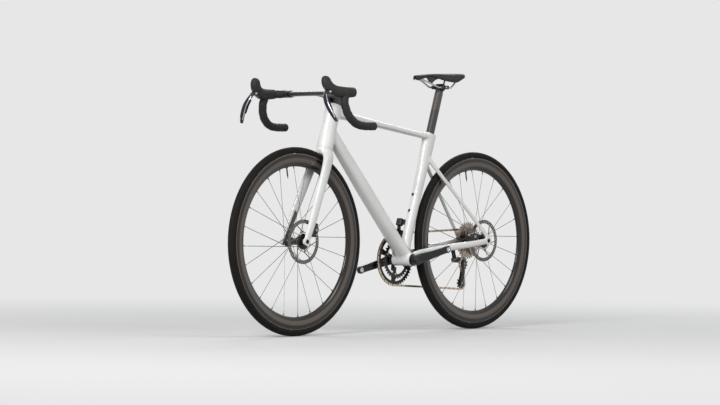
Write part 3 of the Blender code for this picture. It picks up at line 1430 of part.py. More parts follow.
def build():
    clear_scene()
    make_frame()
    make_hanger()
    make_headset()
    make_bottom_bracket()
    make_seat_wedge()
    make_thru_axle("rear_thru_axle", REAR_AXLE, REAR_HUB_WIDTH / 2, DROPOUT_THICKNESS)
    make_front_derailleur()
    make_chain()

    rear_stay = Vector((math.cos(math.radians(9.8)), 0, -math.sin(math.radians(9.8))))
    rear_place, rear_turn = caliper_place(REAR_AXLE, rear_stay, 0.0660, 0.0278)
    make_caliper("rear_caliper", rear_place, rear_turn, REAR_AXLE, REAR_ROTOR_Y)
    for name, side in (("rear_pad_outer", 1), ("rear_pad_inner", -1)):
        pad = make_pad(name, rear_place, REAR_AXLE, REAR_ROTOR_Y, side)
        carry(pivot(name + "_slide", Vector((rear_place.x, REAR_ROTOR_Y, rear_place.z))), pad)

    rear = pivot("rear_wheel_axis", REAR_AXLE)
    carry(rear, make_tyre("rear_tyre", REAR_AXLE), make_rim("rear_rim", REAR_AXLE),
          make_valve("rear_valve", REAR_AXLE),
          make_hub("rear_hub", REAR_AXLE, REAR_HUB_WIDTH, REAR_FLANGES, REAR_ROTOR_Y, True),
          make_freehub_sleeve(),
          make_rotor("rear_rotor", REAR_AXLE, REAR_ROTOR_Y))
    carry(pivot("cassette_axis", REAR_AXLE), make_cassette())

    crank_axis = pivot("crank_axis", BB)
    carry(crank_axis, make_spindle(), make_crank("crank_left", 1), make_crank("crank_right", -1),
          make_chainring("chainring_outer", OUTER_RING_TEETH, 0, 0.0),
          make_chainring("chainring_inner", INNER_RING_TEETH, 1, 0.0))

    pulleys, tension = make_rear_derailleur()
    carry(pivot("guide_pulley_axis", GUIDE_CENTRE), pulleys[0])
    carry(pivot("tension_pulley_axis", tension), pulleys[1])

    post_axis = pivot("seatpost_slide", seat_point(SEAT_TUBE_LENGTH))
    carry(post_axis, make_seatpost())
    tilt = pivot("saddle_tilt_axis", tilt_centre(), post_axis)
    carry(tilt, make_saddle_clamp())
    saddle_slide = pivot("saddle_slide", tilt_centre(), tilt)
    carry(saddle_slide, make_saddle(), make_saddle_rails())

    steering = pivot("steering_axis", steer_point(HEAD_BOTTOM))
    carry(steering, make_fork(), make_headset_cover(), make_stem_cap(), make_handlebar(),
          make_thru_axle("front_thru_axle", FRONT_AXLE, FRONT_HUB_WIDTH / 2, 0.0100))
    leg = (steer_point(FORK_LENGTH - 0.0140) - FRONT_AXLE).normalized()
    front_place, front_turn = caliper_place(FRONT_AXLE, leg, 0.0600, 0.0305)
    carry(steering, make_caliper("front_caliper", front_place, front_turn, FRONT_AXLE, FRONT_ROTOR_Y))
    for name, side in (("front_pad_outer", 1), ("front_pad_inner", -1)):
        pad = make_pad(name, front_place, FRONT_AXLE, FRONT_ROTOR_Y, side)
        carry(pivot(name + "_slide", Vector((front_place.x, FRONT_ROTOR_Y, front_place.z)), steering), pad)
    front = pivot("front_wheel_axis", FRONT_AXLE, steering)
    carry(front, make_tyre("front_tyre", FRONT_AXLE), make_rim("front_rim", FRONT_AXLE),
          make_valve("front_valve", FRONT_AXLE),
          make_hub("front_hub", FRONT_AXLE, FRONT_HUB_WIDTH, FRONT_FLANGES, FRONT_ROTOR_Y, False),
          make_rotor("front_rotor", FRONT_AXLE, FRONT_ROTOR_Y))
    for word, side in (("left", 1), ("right", -1)):
        carry(steering, make_tape("bar_tape_" + word, side), make_bar_plug("bar_plug_" + word, side),
              make_hood("lever_hood_" + word, side))
        lever_axis = pivot("brake_lever_axis_" + word, lever_axis_place(side), steering)
        carry(lever_axis, make_brake_lever("brake_lever_" + word, side))
        paddle_axis = pivot("shift_paddle_axis_" + word, paddle_hinge(side), lever_axis)
        carry(paddle_axis, make_shift_paddle("shift_paddle_" + word, side))


build()
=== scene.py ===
"""The looks of a road bike with drop bars, disc brakes and deep carbon rims.

Metres, +X forward, +Y to the rider's left, +Z up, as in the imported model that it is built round.
"""

import json
import math

import bmesh
import bpy
import numpy as np
from mathutils import Matrix, Quaternion, Vector


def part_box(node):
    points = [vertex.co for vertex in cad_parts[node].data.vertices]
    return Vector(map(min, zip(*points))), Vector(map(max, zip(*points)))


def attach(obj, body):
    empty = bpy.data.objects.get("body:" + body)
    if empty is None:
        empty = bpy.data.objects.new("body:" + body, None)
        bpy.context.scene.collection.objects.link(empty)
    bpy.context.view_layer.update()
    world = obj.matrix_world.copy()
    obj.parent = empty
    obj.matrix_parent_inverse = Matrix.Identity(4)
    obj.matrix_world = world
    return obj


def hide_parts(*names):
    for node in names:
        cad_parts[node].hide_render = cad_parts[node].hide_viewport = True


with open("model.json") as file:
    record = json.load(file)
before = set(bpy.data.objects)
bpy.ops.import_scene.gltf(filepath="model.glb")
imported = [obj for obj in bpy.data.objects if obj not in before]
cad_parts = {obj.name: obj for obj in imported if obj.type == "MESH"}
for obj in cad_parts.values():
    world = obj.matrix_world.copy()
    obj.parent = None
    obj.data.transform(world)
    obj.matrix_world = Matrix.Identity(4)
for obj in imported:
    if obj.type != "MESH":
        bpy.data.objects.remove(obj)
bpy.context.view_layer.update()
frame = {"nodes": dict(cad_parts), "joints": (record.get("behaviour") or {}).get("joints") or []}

# Frame: head tube, main tubes, stays and bottom bracket shell, moulded from carbon as one hollow
# piece and sprayed gloss white. Its ends are cut flat for the bearings, the post and the axle.

X, Y, Z = Vector((1, 0, 0)), Vector((0, 1, 0)), Vector((0, 0, 1))
joints = {joint["name"]: joint for joint in frame["joints"]}


def axis_place(name):
    return Vector(joints[name]["pos_m"])


def around(angle, radius=1.0, left=0.0):
    """A step from an axle, at an angle that rises from straight ahead."""
    return Vector((math.cos(angle) * radius, left, math.sin(angle) * radius))


rear_axle = axis_place("rear_wheel_spin")
front_axle = axis_place("front_wheel_spin")
bottom_bracket = axis_place("crank_spin")
steer_up = Vector(joints["steering_turn"]["axis"]).normalized()
head_bottom, head_top = 0.3665, 0.5325
steer_foot = axis_place("steering_turn") - steer_up * head_bottom
seat_degrees = 72
seat_up = around(math.radians(180 - seat_degrees))
seat_fore = Vector((seat_up.z, 0, -seat_up.x))
seat_foot = bottom_bracket + X * 0.012
seat_top = 0.497


def steer_point(along, left=0.0):
    return steer_foot + steer_up * along + Y * left


def seat_point(along, forward=0.0):
    return seat_foot + seat_up * along + seat_fore * forward


def rows_from(origin, rows):
    """Rows of (x, y, z, half width, half depth) as (point, half width, half depth)."""
    return [(origin + Vector(row[:3]), *row[3:]) for row in rows]


def through(rows, steps):
    """Vectors of five numbers on a smooth line through rows of (point, half width, half depth)."""
    stations = [Vector((*point, *sizes)) for point, *sizes in rows]
    line = []
    last = len(stations) - 1
    for index in range(last):
        before, start = stations[max(index - 1, 0)], stations[index]
        end, after = stations[index + 1], stations[min(index + 2, last)]
        for step in range(steps):
            share = step / steps
            line.append(0.5 * (2 * start + (end - before) * share
                               + (2 * before - 5 * start + 4 * end - after) * share ** 2
                               + (3 * start - before - 3 * end + after) * share ** 3))
    line.append(stations[-1])
    return line


def place_matrix(centre, first, second, third):
    """Moves a shape made at the origin so that its X, Y and Z follow three directions."""
    return Matrix.Translation(centre) @ Matrix((first, second, third)).transposed().to_4x4()


def ring_places(line, hint):
    """A placing matrix for the ring at each place, with its first half size along the hint."""
    places = []
    for index, now in enumerate(line):
        before = Vector(line[max(index - 1, 0)][:3])
        after = Vector(line[min(index + 1, len(line) - 1)][:3])
        tangent = (after - before).normalized()
        first = (hint - tangent * hint.dot(tangent)).normalized()
        second = tangent.cross(first)
        places.append(place_matrix(Vector(now[:3]), first * now[3], second * now[4], tangent))
    return places


def only_verts(parts):
    return [part for part in parts if isinstance(part, bmesh.types.BMVert)]


def tube(places, sides=24, power=2.3):
    """A closed skin from ring to ring. Power 2 is round and more is squarer.

    The skin attribute holds each point's place in its ring and its distance along the tube.
    """
    bm = bmesh.new()
    skin = bm.verts.layers.float_vector.new("skin")
    ring = bmesh.ops.create_circle(bm, segments=sides, radius=1, cap_ends=True)["verts"]
    for vert in ring:
        vert.co *= (abs(vert.co.x) ** power + abs(vert.co.y) ** power) ** (-1 / power)
        vert[skin] = vert.co
    bmesh.ops.transform(bm, matrix=places[0], verts=ring)
    edges = list(bm.edges)
    travelled = 0.0
    for near, far in zip(places, places[1:]):
        grown = bmesh.ops.extrude_edge_only(bm, edges=edges)["geom"]
        ring = only_verts(grown)
        bmesh.ops.transform(bm, matrix=far @ near.inverted(), verts=ring)
        fresh = set(ring)
        edges = [part for part in grown
                 if isinstance(part, bmesh.types.BMEdge) and fresh.issuperset(part.verts)]
        travelled += (far.translation - near.translation).length
        back = far.inverted()
        for vert in ring:
            vert[skin] = (*(back @ vert.co).xy, travelled)
    bmesh.ops.contextual_create(bm, geom=edges)
    bmesh.ops.recalc_face_normals(bm, faces=bm.faces)
    return bm


def loft(rows, hint=Y, sides=24, power=2.3, steps=5):
    """A tube on a smooth line through a few rows of (point, half width, half depth)."""
    return tube(ring_places(through(rows, steps), hint), sides, power)


def level_edges(bm):
    return [edge for edge in bm.edges if abs(edge.verts[0].co.z - edge.verts[1].co.z) < 1e-7]


def softened(bm, offset, segments=2, edges=None):
    """The shape with all its edges, or only the given ones, rounded off."""
    bmesh.ops.bevel(bm, geom=edges or bm.edges[:], offset=offset, segments=segments, affect="EDGES",
                    profile=0.5, material=-1)
    return bm


def stood(bm, place, axis):
    """The shape moved from the origin to a place, with its Z turned along an axis."""
    turn = axis.to_track_quat("Z", "X").to_matrix().to_4x4()
    bmesh.ops.transform(bm, matrix=Matrix.Translation(place) @ turn, verts=bm.verts)
    return bm


def rod(start, end, radius, end_radius=None, sides=32, soft=0.0):
    """A round bar between two points, with its end edges softened if asked."""
    bm = bmesh.new()
    bmesh.ops.create_cone(bm, cap_ends=True, cap_tris=False, segments=sides, radius1=radius,
                          radius2=radius if end_radius is None else end_radius, depth=(end - start).length)
    if soft:
        softened(bm, soft, 2, level_edges(bm))
    return stood(bm, (start + end) / 2, end - start)


def axle_rod(place, half, radius, sides=32, soft=0.0):
    """A round bar across the bike with its middle at a place."""
    return rod(place - Y * half, place + Y * half, radius, sides=sides, soft=soft)


def turned(profile, centre, axis, steps=64, loop=False):
    """A round piece from an outline of (radius, distance along the axis)."""
    bm = bmesh.new()
    verts = [bm.verts.new((radius, 0, along)) for radius, along in profile]
    edges = [bm.edges.new(pair) for pair in zip(verts, verts[1:])]
    if loop:
        edges.append(bm.edges.new((verts[-1], verts[0])))
    bmesh.ops.spin(bm, geom=verts + edges, cent=(0, 0, 0), axis=(0, 0, 1),
                   angle=2 * math.pi, steps=steps, use_merge=True)
    bmesh.ops.remove_doubles(bm, verts=bm.verts, dist=1e-6)
    stood(bm, centre, axis)
    bmesh.ops.recalc_face_normals(bm, faces=bm.faces)
    return bm


def bore(centre, axis, start, *parts, steps=64):
    """A cutter for a stepped hole: where it starts, then each part's radius and where it ends."""
    profile = [(0, start)]
    for radius, end in parts:
        profile += [(radius, start), (radius, end)]
        start = end
    return turned([*profile, (0, start)], centre, axis, steps)


def together(*shapes):
    """Several shapes in one bmesh."""
    whole = bmesh.new()
    for bm in shapes:
        mesh = bpy.data.meshes.new("part")
        bm.to_mesh(mesh)
        bm.free()
        whole.from_mesh(mesh)
        bpy.data.meshes.remove(mesh)
    return whole


def both_sides(bm):
    """A shape and its twin on the other side of the bike."""
    twin = bm.copy()
    bmesh.ops.scale(twin, vec=(1, -1, 1), verts=twin.verts)
    bmesh.ops.reverse_faces(twin, faces=twin.faces)
    return together(bm, twin)


def linked(name, bm):
    """A new object in the scene that holds the shape."""
    mesh = bpy.data.meshes.new(name)
    bm.to_mesh(mesh)
    bm.free()
    obj = bpy.data.objects.new(name, mesh)
    bpy.context.scene.collection.objects.link(obj)
    return obj


def discard(obj):
    mesh = obj.data
    bpy.data.objects.remove(obj, do_unlink=True)
    bpy.data.meshes.remove(mesh)


def baked(bm, *modifiers):
    """The shape that is left when a list of (type, settings) modifiers has been applied."""
    obj = linked("bake", bm)
    for kind, settings in modifiers:
        modifier = obj.modifiers.new(kind.lower(), kind)
        for key, value in settings.items():
            setattr(modifier, key, value)
    graph = bpy.context.evaluated_depsgraph_get()
    result = bmesh.new()
    result.from_mesh(obj.evaluated_get(graph).to_mesh())
    discard(obj)
    return result


def carved(bm, *cutters):
    """The shape with others cut out of it."""
    bmesh.ops.recalc_face_normals(bm, faces=bm.faces)
    cutter = linked("cutter", together(*cutters))
    result = baked(bm, ("BOOLEAN", {"operation": "DIFFERENCE", "solver": "EXACT", "object": cutter}))
    discard(cutter)
    return result


def melted(shells, voxel, rounds=6, corners=(), fills=0):
    """Overlapping shells made one moulded skin, with soft inner corners near the given places.

    Each corner is (place, radius). There the skin only ever grows, as a moulded fillet does.
    """
    bm = baked(together(*shells), ("REMESH", {"mode": "VOXEL", "voxel_size": voxel, "adaptivity": 0}))
    mesh = bpy.data.meshes.new("melt")
    bm.to_mesh(mesh)
    bm.free()
    count = len(mesh.vertices)
    places = np.empty(count * 3, np.float32)
    mesh.vertices.foreach_get("co", places)
    places = places.reshape(-1, 3).astype(float)
    ends = np.empty(len(mesh.edges) * 2, np.int32)
    mesh.edges.foreach_get("vertices", ends)
    one, two = ends.reshape(-1, 2).T
    links = np.bincount(one, minlength=count) + np.bincount(two, minlength=count)

    def pull():
        """The step from each point to the middle of its neighbours."""
        sums = [np.bincount(one, places[two, axis], count) + np.bincount(two, places[one, axis], count)
                for axis in range(3)]
        return np.stack(sums, 1) / links[:, None] - places

    def smooth(times):
        """Evens out the skin, and pushes it back each time so that it keeps its size."""
        for share in (0.5, -0.53) * times:
            places[:] += share * pull()

    smooth(rounds)
    near = np.zeros(count)
    for place, radius in corners:
        away = np.linalg.norm(places - np.array(place), axis=1) / radius
        near = np.maximum(near, np.clip(2.0 - 2.0 * away, 0, 1))
    normals = np.empty((count, 3), np.float32)
    for _ in range(fills):
        mesh.vertices.foreach_set("co", places.astype(np.float32).ravel())
        mesh.update()
        mesh.vertex_normals.foreach_get("vector", normals.ravel())
        lift = np.maximum((pull() * normals).sum(1), 0) * near * 0.9
        places += normals * lift[:, None]
    smooth(2)
    mesh.vertices.foreach_set("co", places.astype(np.float32).ravel())
    result = bmesh.new()
    result.from_mesh(mesh)
    bpy.data.meshes.remove(mesh)
    return result


def piece(name, bm, body, material, slot, *nodes, sharp=35):
    """A finished piece that moves with a body and stands for the named nodes."""
    bmesh.ops.remove_doubles(bm, verts=bm.verts, dist=1e-6)
    bmesh.ops.recalc_face_normals(bm, faces=bm.faces)
    obj = linked(name, bm)
    obj.data.shade_smooth()
    obj.data.set_sharp_from_angle(angle=math.radians(sharp))
    obj.data.materials.append(material)
    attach(obj, body)
    if nodes:
        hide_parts(*nodes)
    return obj


def operator(operation, reflected=False):
    """A method that adds a maths node for a wire and, before or after it, the other value."""
    def method(wire, *other):
        return Wire.maths(operation, *(*other, wire) if reflected else (wire, *other))
    return method


class Wire:
    """An output socket of a material, on which Python's operators add the maths nodes."""

    tree = None
    __add__, __radd__ = operator("ADD"), operator("ADD", True)
    __sub__, __rsub__ = operator("SUBTRACT"), operator("SUBTRACT", True)
    __mul__, __rmul__ = operator("MULTIPLY"), operator("MULTIPLY", True)
    __pow__, __rpow__ = operator("POWER"), operator("POWER", True)
    __abs__, sine, most = operator("ABSOLUTE"), operator("SINE"), operator("MAXIMUM")

    def __init__(self, socket):
        self.socket = socket

    @classmethod
    def node(cls, kind, settings=None, sockets=None, output=0):
        """Adds a node: its type, its settings, and the values or links of its sockets."""
        made = cls.tree.nodes.new("ShaderNode" + kind)
        for key, value in (settings or {}).items():
            setattr(made, key, value)
        for key, value in (sockets or {}).items():
            if isinstance(value, Wire):
                cls.tree.links.new(value.socket, made.inputs[key])
            else:
                made.inputs[key].default_value = value
        return cls(made.outputs[output])

    @classmethod
    def maths(cls, operation, *values):
        wide = any(isinstance(value, tuple) or isinstance(value, Wire) and value.socket.type != "VALUE"
                   for value in values)
        if wide:
            values = [value if isinstance(value, (tuple, Wire)) else (value,) * 3 for value in values]
        kind = "VectorMath" if wide else "Math"
        return cls.node(kind, {"operation": operation}, dict(enumerate(values)))

    def rise(self, low, high):
        """0 below low and 1 above high, with a smooth step between."""
        settings = {"interpolation_type": "SMOOTHSTEP"}
        return self.node("MapRange", settings, {"Value": self, "From Min": low, "From Max": high})

    def parts(self):
        """The three numbers of a vector."""
        return [self.node("SeparateXYZ", None, {0: self}, axis) for axis in range(3)]

    def blend(self, low, high):
        """The low value or colour where this is 0, and the high one where it is 1."""
        if isinstance(low, float):
            return self * (high - low) + low
        low, high = [end if isinstance(end, Wire) else (*end, 1) for end in (low, high)]
        return self.node("Mix", {"data_type": "RGBA"}, {0: self, 6: low, 7: high}, 2)


def object_place():
    return Wire.node("TexCoord", None, None, "Object")


def noise(where, scale, detail=2):
    return Wire.node("TexNoise", None, {"Vector": where, "Scale": scale, "Detail": detail})


def bump(height, distance):
    return Wire.node("Bump", None, {"Height": height, "Distance": distance})


def finish(name, numbers):
    """Starts a finish, with what is the same all over set on its shader."""
    material = bpy.data.materials.new(name)
    material.use_nodes = True
    Wire.tree = material.node_tree
    for socket, value in numbers.items():
        Wire.tree.nodes["Principled BSDF"].inputs[socket].default_value = value
    return material


def varied(parts):
    """Links what changes over the surface to the shader of the finish just started.

    A part is a wire, or a noise as (scale, detail, low, high), or as (scale, detail, height) for a bump.
    """
    for socket, part in parts.items():
        if isinstance(part, tuple):
            scale, detail, *ends = part
            grain = noise(object_place(), scale, detail)
            part = bump(grain, *ends) if socket == "Normal" else grain.blend(*ends)
        Wire.tree.links.new(part.socket, Wire.tree.nodes["Principled BSDF"].inputs[socket])


def white_coat():
    """White paint, a shade uneven."""
    return noise(object_place(), 7, 3).rise(0.35, 0.65).blend((0.78, 0.78, 0.77), (0.83, 0.83, 0.82))


paint_gloss = {"IOR": 1.5, "Coat Roughness": 0.04}
paint_grain = {"Roughness": (40, 4, 0.24, 0.36), "Coat Weight": (3, 2, 0.75, 0.95),
               "Normal": (420, 2, 0.00006)}
white_paint = finish("gloss_white_paint", paint_gloss)
varied({"Base Color": white_coat(), **paint_grain})

head_middle = (head_bottom + head_top) / 2
head_tube = loft([(steer_point(along), wide, 0.0305) for along, wide in
                  ((head_bottom - 0.004, 0.029), (head_bottom + 0.016, 0.029), (head_middle, 0.025),
                   (head_top - 0.016, 0.028), (head_top + 0.004, 0.028))], power=2.15, sides=40)


def straight(upper, lower, sizes, power=2.4, sides=36):
    """A tube between two points, with (share of its length, half width, half depth) on the way."""
    return loft([(upper.lerp(lower, share), *size) for share, *size in sizes], power=power, sides=sides)


down_tube = straight(steer_point(head_middle - 0.014), bottom_bracket + Vector((-0.006, 0, 0.004)),
                     ((0.0, 0.022, 0.025), (0.16, 0.0235, 0.024), (0.42, 0.026, 0.0262),
                      (0.62, 0.027, 0.0255), (0.82, 0.0305, 0.0225), (0.97, 0.0385, 0.02)))
top_tube = straight(steer_point(head_top - 0.031), seat_point(seat_top - 0.0125),
                    ((0.0, 0.023, 0.017), (0.13, 0.022, 0.0145), (0.52, 0.019, 0.0115),
                     (1.0, 0.0165, 0.0108)), power=2.8)
seat_tube = loft([(seat_point(along), *size) for along, *size in
                  ((0.012, 0.03, 0.02), (0.075, 0.018, 0.0195), (0.235, 0.0168, 0.0188),
                   (0.35, 0.0172, 0.0205), (0.425, 0.0178, 0.0265), (seat_top + 0.004, 0.0178, 0.0285))],
                 power=2.5, sides=36)
shell = axle_rod(bottom_bracket, 0.0465, 0.0235, sides=40)
chainstay_rows = rows_from(bottom_bracket, (
    (-0.012, 0.025, 0.008, 0.0095, 0.015), (-0.052, 0.0274, 0.02, 0.0066, 0.016),
    (-0.095, 0.0284, 0.027, 0.0066, 0.015), (-0.145, 0.0355, 0.035, 0.007, 0.0138)))
chainstay_rows += rows_from(rear_axle, (
    (0.18, 0.0495, -0.0235, 0.0075, 0.013), (0.092, 0.064, -0.0135, 0.0075, 0.0124),
    (0.04, 0.072, -0.0065, 0.006, 0.0115), (0.004, 0.0745, -0.001, 0.0036, 0.0105)))
chainstay = loft(chainstay_rows, power=2.4)
seatstay = straight(seat_point(0.404, -0.006) + Y * 0.0115, rear_axle + Vector((0.003, 0.0745, 0.015)),
                    ((0.0, 0.007, 0.0105), (0.18, 0.006, 0.008), (0.55, 0.0058, 0.007),
                     (0.88, 0.0052, 0.0078), (1.0, 0.0036, 0.01)), power=2.2, sides=20)
dropout = rod(rear_axle + Y * 0.069, rear_axle + Y * 0.08, 0.0165)
boss_places = [seat_point(along, 0.0175) for along in (0.251, 0.187)]
bosses = together(*[rod(place - seat_fore * 0.004, place + seat_fore * 0.003, 0.007)
                    for place in boss_places])


def post_rows(low, high, grow=0.0):
    return [(seat_point(along), 0.013 + grow, 0.0165 + grow) for along in (low, high)]


frame_skin = melted(
    [head_tube, down_tube, top_tube, seat_tube, shell, both_sides(chainstay), both_sides(seatstay),
     both_sides(dropout), bosses], 0.0023, rounds=8,
    corners=[(steer_point(head_middle - 0.03), 0.085), (steer_point(head_top - 0.03), 0.07),
             (seat_point(0.48), 0.055), (seat_point(0.4), 0.05), (bottom_bracket, 0.085),
             (rear_axle + Vector((0.012, 0.0745, 0.004)), 0.05),
             (rear_axle + Vector((0.012, -0.0745, 0.004)), 0.05)], fills=70)
head_bore = bore(steer_point(head_bottom), steer_up, -0.012, (0.045, 0.0004), (0.0261, 0.0083),
                 (0.0205, 0.1577), (0.0261, 0.1658), (0.045, 0.178))
shell_bore = bore(bottom_bracket, Y, -0.06, (0.029, -0.04325), (0.0205, 0.04325), (0.029, 0.06))
axle_holes = [bore(rear_axle, Y * side, 0.06, (0.0172, 0.071), (0.0063, 0.078), (0.022, 0.09))
              for side in (1, -1)]
seat_cut = rod(seat_point(seat_top), seat_point(seat_top + 0.012), 0.06)
post_bore = loft(post_rows(0.297, seat_top + 0.004, 0.0003), sides=32, power=2.6, steps=1)
frame_skin = carved(frame_skin, head_bore, shell_bore, seat_cut, *axle_holes)
piece("frame_moulding", carved(frame_skin, post_bore), "frame_body", white_paint, "white_paint", "frame")

# Fittings of the frame: bolts in the bottle bosses, the wedge that clamps the post, the hanger that
# carries the derailleur, bearings, bottom bracket cups and the rear axle. Aluminium alloy, bead
# blasted and anodised black, and bearing steel.

black_metal = finish("black_anodised_metal", {"Metallic": 0.75, "IOR": 1.6})
varied({"Base Color": (60, 3, (0.022, 0.022, 0.024), (0.055, 0.055, 0.058)),
        "Roughness": (25, 4, 0.26, 0.46), "Normal": (2600, 1, 0.00003)})

bright_steel = finish("ground_steel", {"Metallic": 1.0})
varied({"Base Color": (35, 3, (0.42, 0.41, 0.39), (0.62, 0.61, 0.59)),
        "Roughness": (90, 5, 0.22, 0.42), "Normal": (1500, 2, 0.00002)})


def top_face(bm):
    return max(bm.faces, key=lambda face: face.calc_center_median().z)


def bolt_head(place, axis, radius, height, socket=0.5):
    """A cap bolt's head with a six-sided socket, standing on a place."""
    bm = bmesh.new()
    bmesh.ops.create_cone(bm, cap_ends=True, cap_tris=False, segments=24, radius1=radius, radius2=radius,
                          depth=height)
    softened(bm, height * 0.22, 2, top_face(bm).edges[:])
    top = top_face(bm)
    bmesh.ops.inset_region(bm, faces=[top], thickness=radius * 0.08)
    for vert in top.verts:
        turn = math.atan2(vert.co.y, vert.co.x) % (math.pi / 3) - math.pi / 6
        vert.co.xy = vert.co.xy.normalized() * (radius * socket / math.cos(turn))
    sunk = bmesh.ops.extrude_discrete_faces(bm, faces=[top])["faces"]
    bmesh.ops.translate(bm, vec=(0, 0, -height * 0.6), verts=sunk[0].verts[:])
    return stood(bm, place + axis * height / 2, axis)


bolts = [bolt_head(place + seat_fore * 0.0031, seat_fore, 0.0043, 0.0028) for place in boss_places]
collars = [turned([(0, 0.0026), (0.0058, 0.0026), (0.006, 0.0032), (0.0056, 0.0036), (0, 0.0036)],
                  place, seat_fore, 32) for place in boss_places]
piece("bottle_boss_bolts", together(*bolts, *collars), "frame_body", black_metal, "black_metal")
wedge_middle = sum(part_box("seatpost_wedge"), Vector()) / 2
wedge_bolt = bolt_head(wedge_middle + seat_up * 0.001, seat_up, 0.0024, 0.0016)
piece("seatpost_wedge_bolt", wedge_bolt, "frame_body", bright_steel, "steel")
for node, material in (("seatpost_wedge", black_metal), ("derailleur_hanger", black_metal),
                       ("headset_lower_bearing", bright_steel), ("headset_upper_bearing", bright_steel)):
    for part in frame["nodes"][node].material_slots:
        part.material = material

hands = (("left", 1), ("right", -1))
for name, side in hands:
    cup = turned([(0.0123, 0.0312), (0.0202, 0.0312), (0.0202, 0.0435), (0.0216, 0.0437), (0.0225, 0.0442),
                  (0.0225, 0.0452), (0.0214, 0.046), (0.018, 0.046), (0.0172, 0.0452), (0.015, 0.0452),
                  (0.0146, 0.046), (0.0123, 0.046)], bottom_bracket, Y * side, loop=True)
    piece("bottom_bracket_cup_" + name, cup, "frame_body", black_metal, "black_metal", "bb_cup_" + name)


def through_axle(axle, half):
    """A hollow axle, flush at both ends, with its socket in the left one."""
    return turned([(0, -half), (0.0052, -half), (0.006, -half + 0.0007), (0.006, half - 0.0007),
                   (0.0053, half), (0.0036, half), (0.0033, half - 0.0004), (0.0033, half - 0.009),
                   (0, half - 0.009)], axle, Y, 36)


def insert_rings(axle, left):
    """The black threaded rings that a carbon dropout holds its axle in, a hair proud of the paint."""
    ring = turned([(0.0063, 0), (0.0087, 0), (0.0087, 0.0005), (0.0083, 0.0008), (0.0066, 0.0008),
                   (0.0063, 0.0005)], axle + Y * left, Y, 40, loop=True)
    return both_sides(ring)


piece("frame_dropout_inserts", insert_rings(rear_axle, 0.0774), "frame_body", black_metal, "black_metal")
rear_bar = through_axle(rear_axle, 0.0777)
piece("rear_axle_bar", rear_bar, "frame_body", black_metal, "black_metal", "rear_thru_axle")

# Fork: crown and two legs moulded from carbon with the frame's white paint outside, the lower part
# of the legs' inner sides left black. The steerer runs up through the head tube's bearings.

fork_length, leg_height, leg_side = 0.3662, 0.3238, 0.0552
fork_tip = front_axle + Y * leg_side
fork_top = steer_point(fork_length - 0.014)


def flipped(point):
    """The same place on the other side of the bike."""
    return Vector((point.x, -point.y, point.z))


leg = []
for share, deep, wide, spread in ((0.0, 0.0145, 0.0048, 1.0), (0.04, 0.0147, 0.0048, 1.0),
                                  (0.12, 0.0152, 0.007, 0.985), (0.3, 0.017, 0.008, 0.93),
                                  (0.6, 0.019, 0.0088, 0.8), (0.85, 0.021, 0.01, 0.665),
                                  (0.945, 0.0225, 0.0115, 0.53), (0.99, 0.024, 0.0115, 0.3)):
    point = fork_tip.lerp(fork_top, share)
    point.y = fork_tip.y * spread
    leg.append((point, deep, wide))
other_leg = [(flipped(point), *size) for point, *size in reversed(leg)]
legs = loft([*leg, (fork_top, 0.0245, 0.011), *other_leg], hint=X, sides=32)
crown = loft([(steer_point(fork_length + above), *size) for above, *size in
              ((-0.024, 0.0235, 0.024), (-0.014, 0.0285, 0.03), (-0.006, 0.0292, 0.0305),
               (0.004, 0.029, 0.0305))], power=2.15, sides=40)
tips = both_sides(rod(front_axle + Y * 0.0485, front_axle + Y * 0.0615, 0.015))
fork_skin = melted([legs, crown, tips], 0.002, rounds=8,
                   corners=[(steer_point(fork_length - 0.03, 0.03), 0.055),
                            (steer_point(fork_length - 0.03, -0.03), 0.055),
                            (front_axle + Y * 0.055, 0.04), (front_axle - Y * 0.055, 0.04)], fills=60)
crown_cut = rod(steer_point(fork_length), steer_point(fork_length + 0.012), 0.045)
tip_cuts = [bore(front_axle, Y * side, 0.04, (0.0172, 0.05), (0.0063, 0.06), (0.02, 0.07))
            for side in (1, -1)]

fork_paint = finish("fork_paint", paint_gloss)
ahead, beside, height = object_place().parts()
climb = (height - front_axle.z) * (1 / leg_height)
leg_middle = leg_side - climb * 0.004 - climb * climb * 0.0245
inner_side = (leg_middle - abs(beside)).rise(-0.0012, -0.0004)
slanted_edge = 0.152 + (ahead - front_axle.x) * 0.9
low_part = (slanted_edge + front_axle.z - height).rise(-0.0006, 0.0006)
before_leg = ahead - climb * (fork_top.x - front_axle.x) - front_axle.x
black_part = inner_side * low_part * (0.0088 - before_leg).rise(-0.0005, 0.0005)
varied({"Base Color": black_part.blend(white_coat(), (0.018, 0.018, 0.019)), **paint_grain})
piece("fork_moulding", carved(fork_skin, crown_cut, *tip_cuts), "steering", fork_paint, "white_paint", "fork")

steerer = turned([(0, 0), (0.0193, 0), (0.0193, 0.03), (0.0143, 0.06), (0.0143, 0.221), (0.0118, 0.2214),
                  (0.0118, 0.12), (0, 0.12)], steer_point(fork_length - 0.01), steer_up)
piece("fork_steerer", steerer, "steering", black_metal, "dark_carbon", "fork")
piece("fork_dropout_inserts", insert_rings(front_axle, 0.0594), "steering", black_metal, "black_metal")
front_bar = through_axle(front_axle, 0.0597)
piece("front_axle_bar", front_bar, "steering", black_metal, "black_metal", "front_thru_axle")

# Headset cover, handlebar with its stem, and the cap on top. The bar and the stem are one carbon
# moulding with a flattened top, clear coated. The cover and the cap are turned from aluminium alloy.

carbon = finish("clear_coated_carbon", {"IOR": 1.45, "Specular IOR Level": 0.4, "Coat Roughness": 0.08})
fibres = noise(object_place() * (30.0, 220.0, 220.0), 1.0, 3)
varied({"Base Color": fibres.blend((0.008, 0.008, 0.009), (0.026, 0.025, 0.025)),
        "Roughness": (30, 4, 0.3, 0.44), "Coat Weight": (12, 2, 0.2, 0.45), "Normal": bump(fibres, 0.00003)})

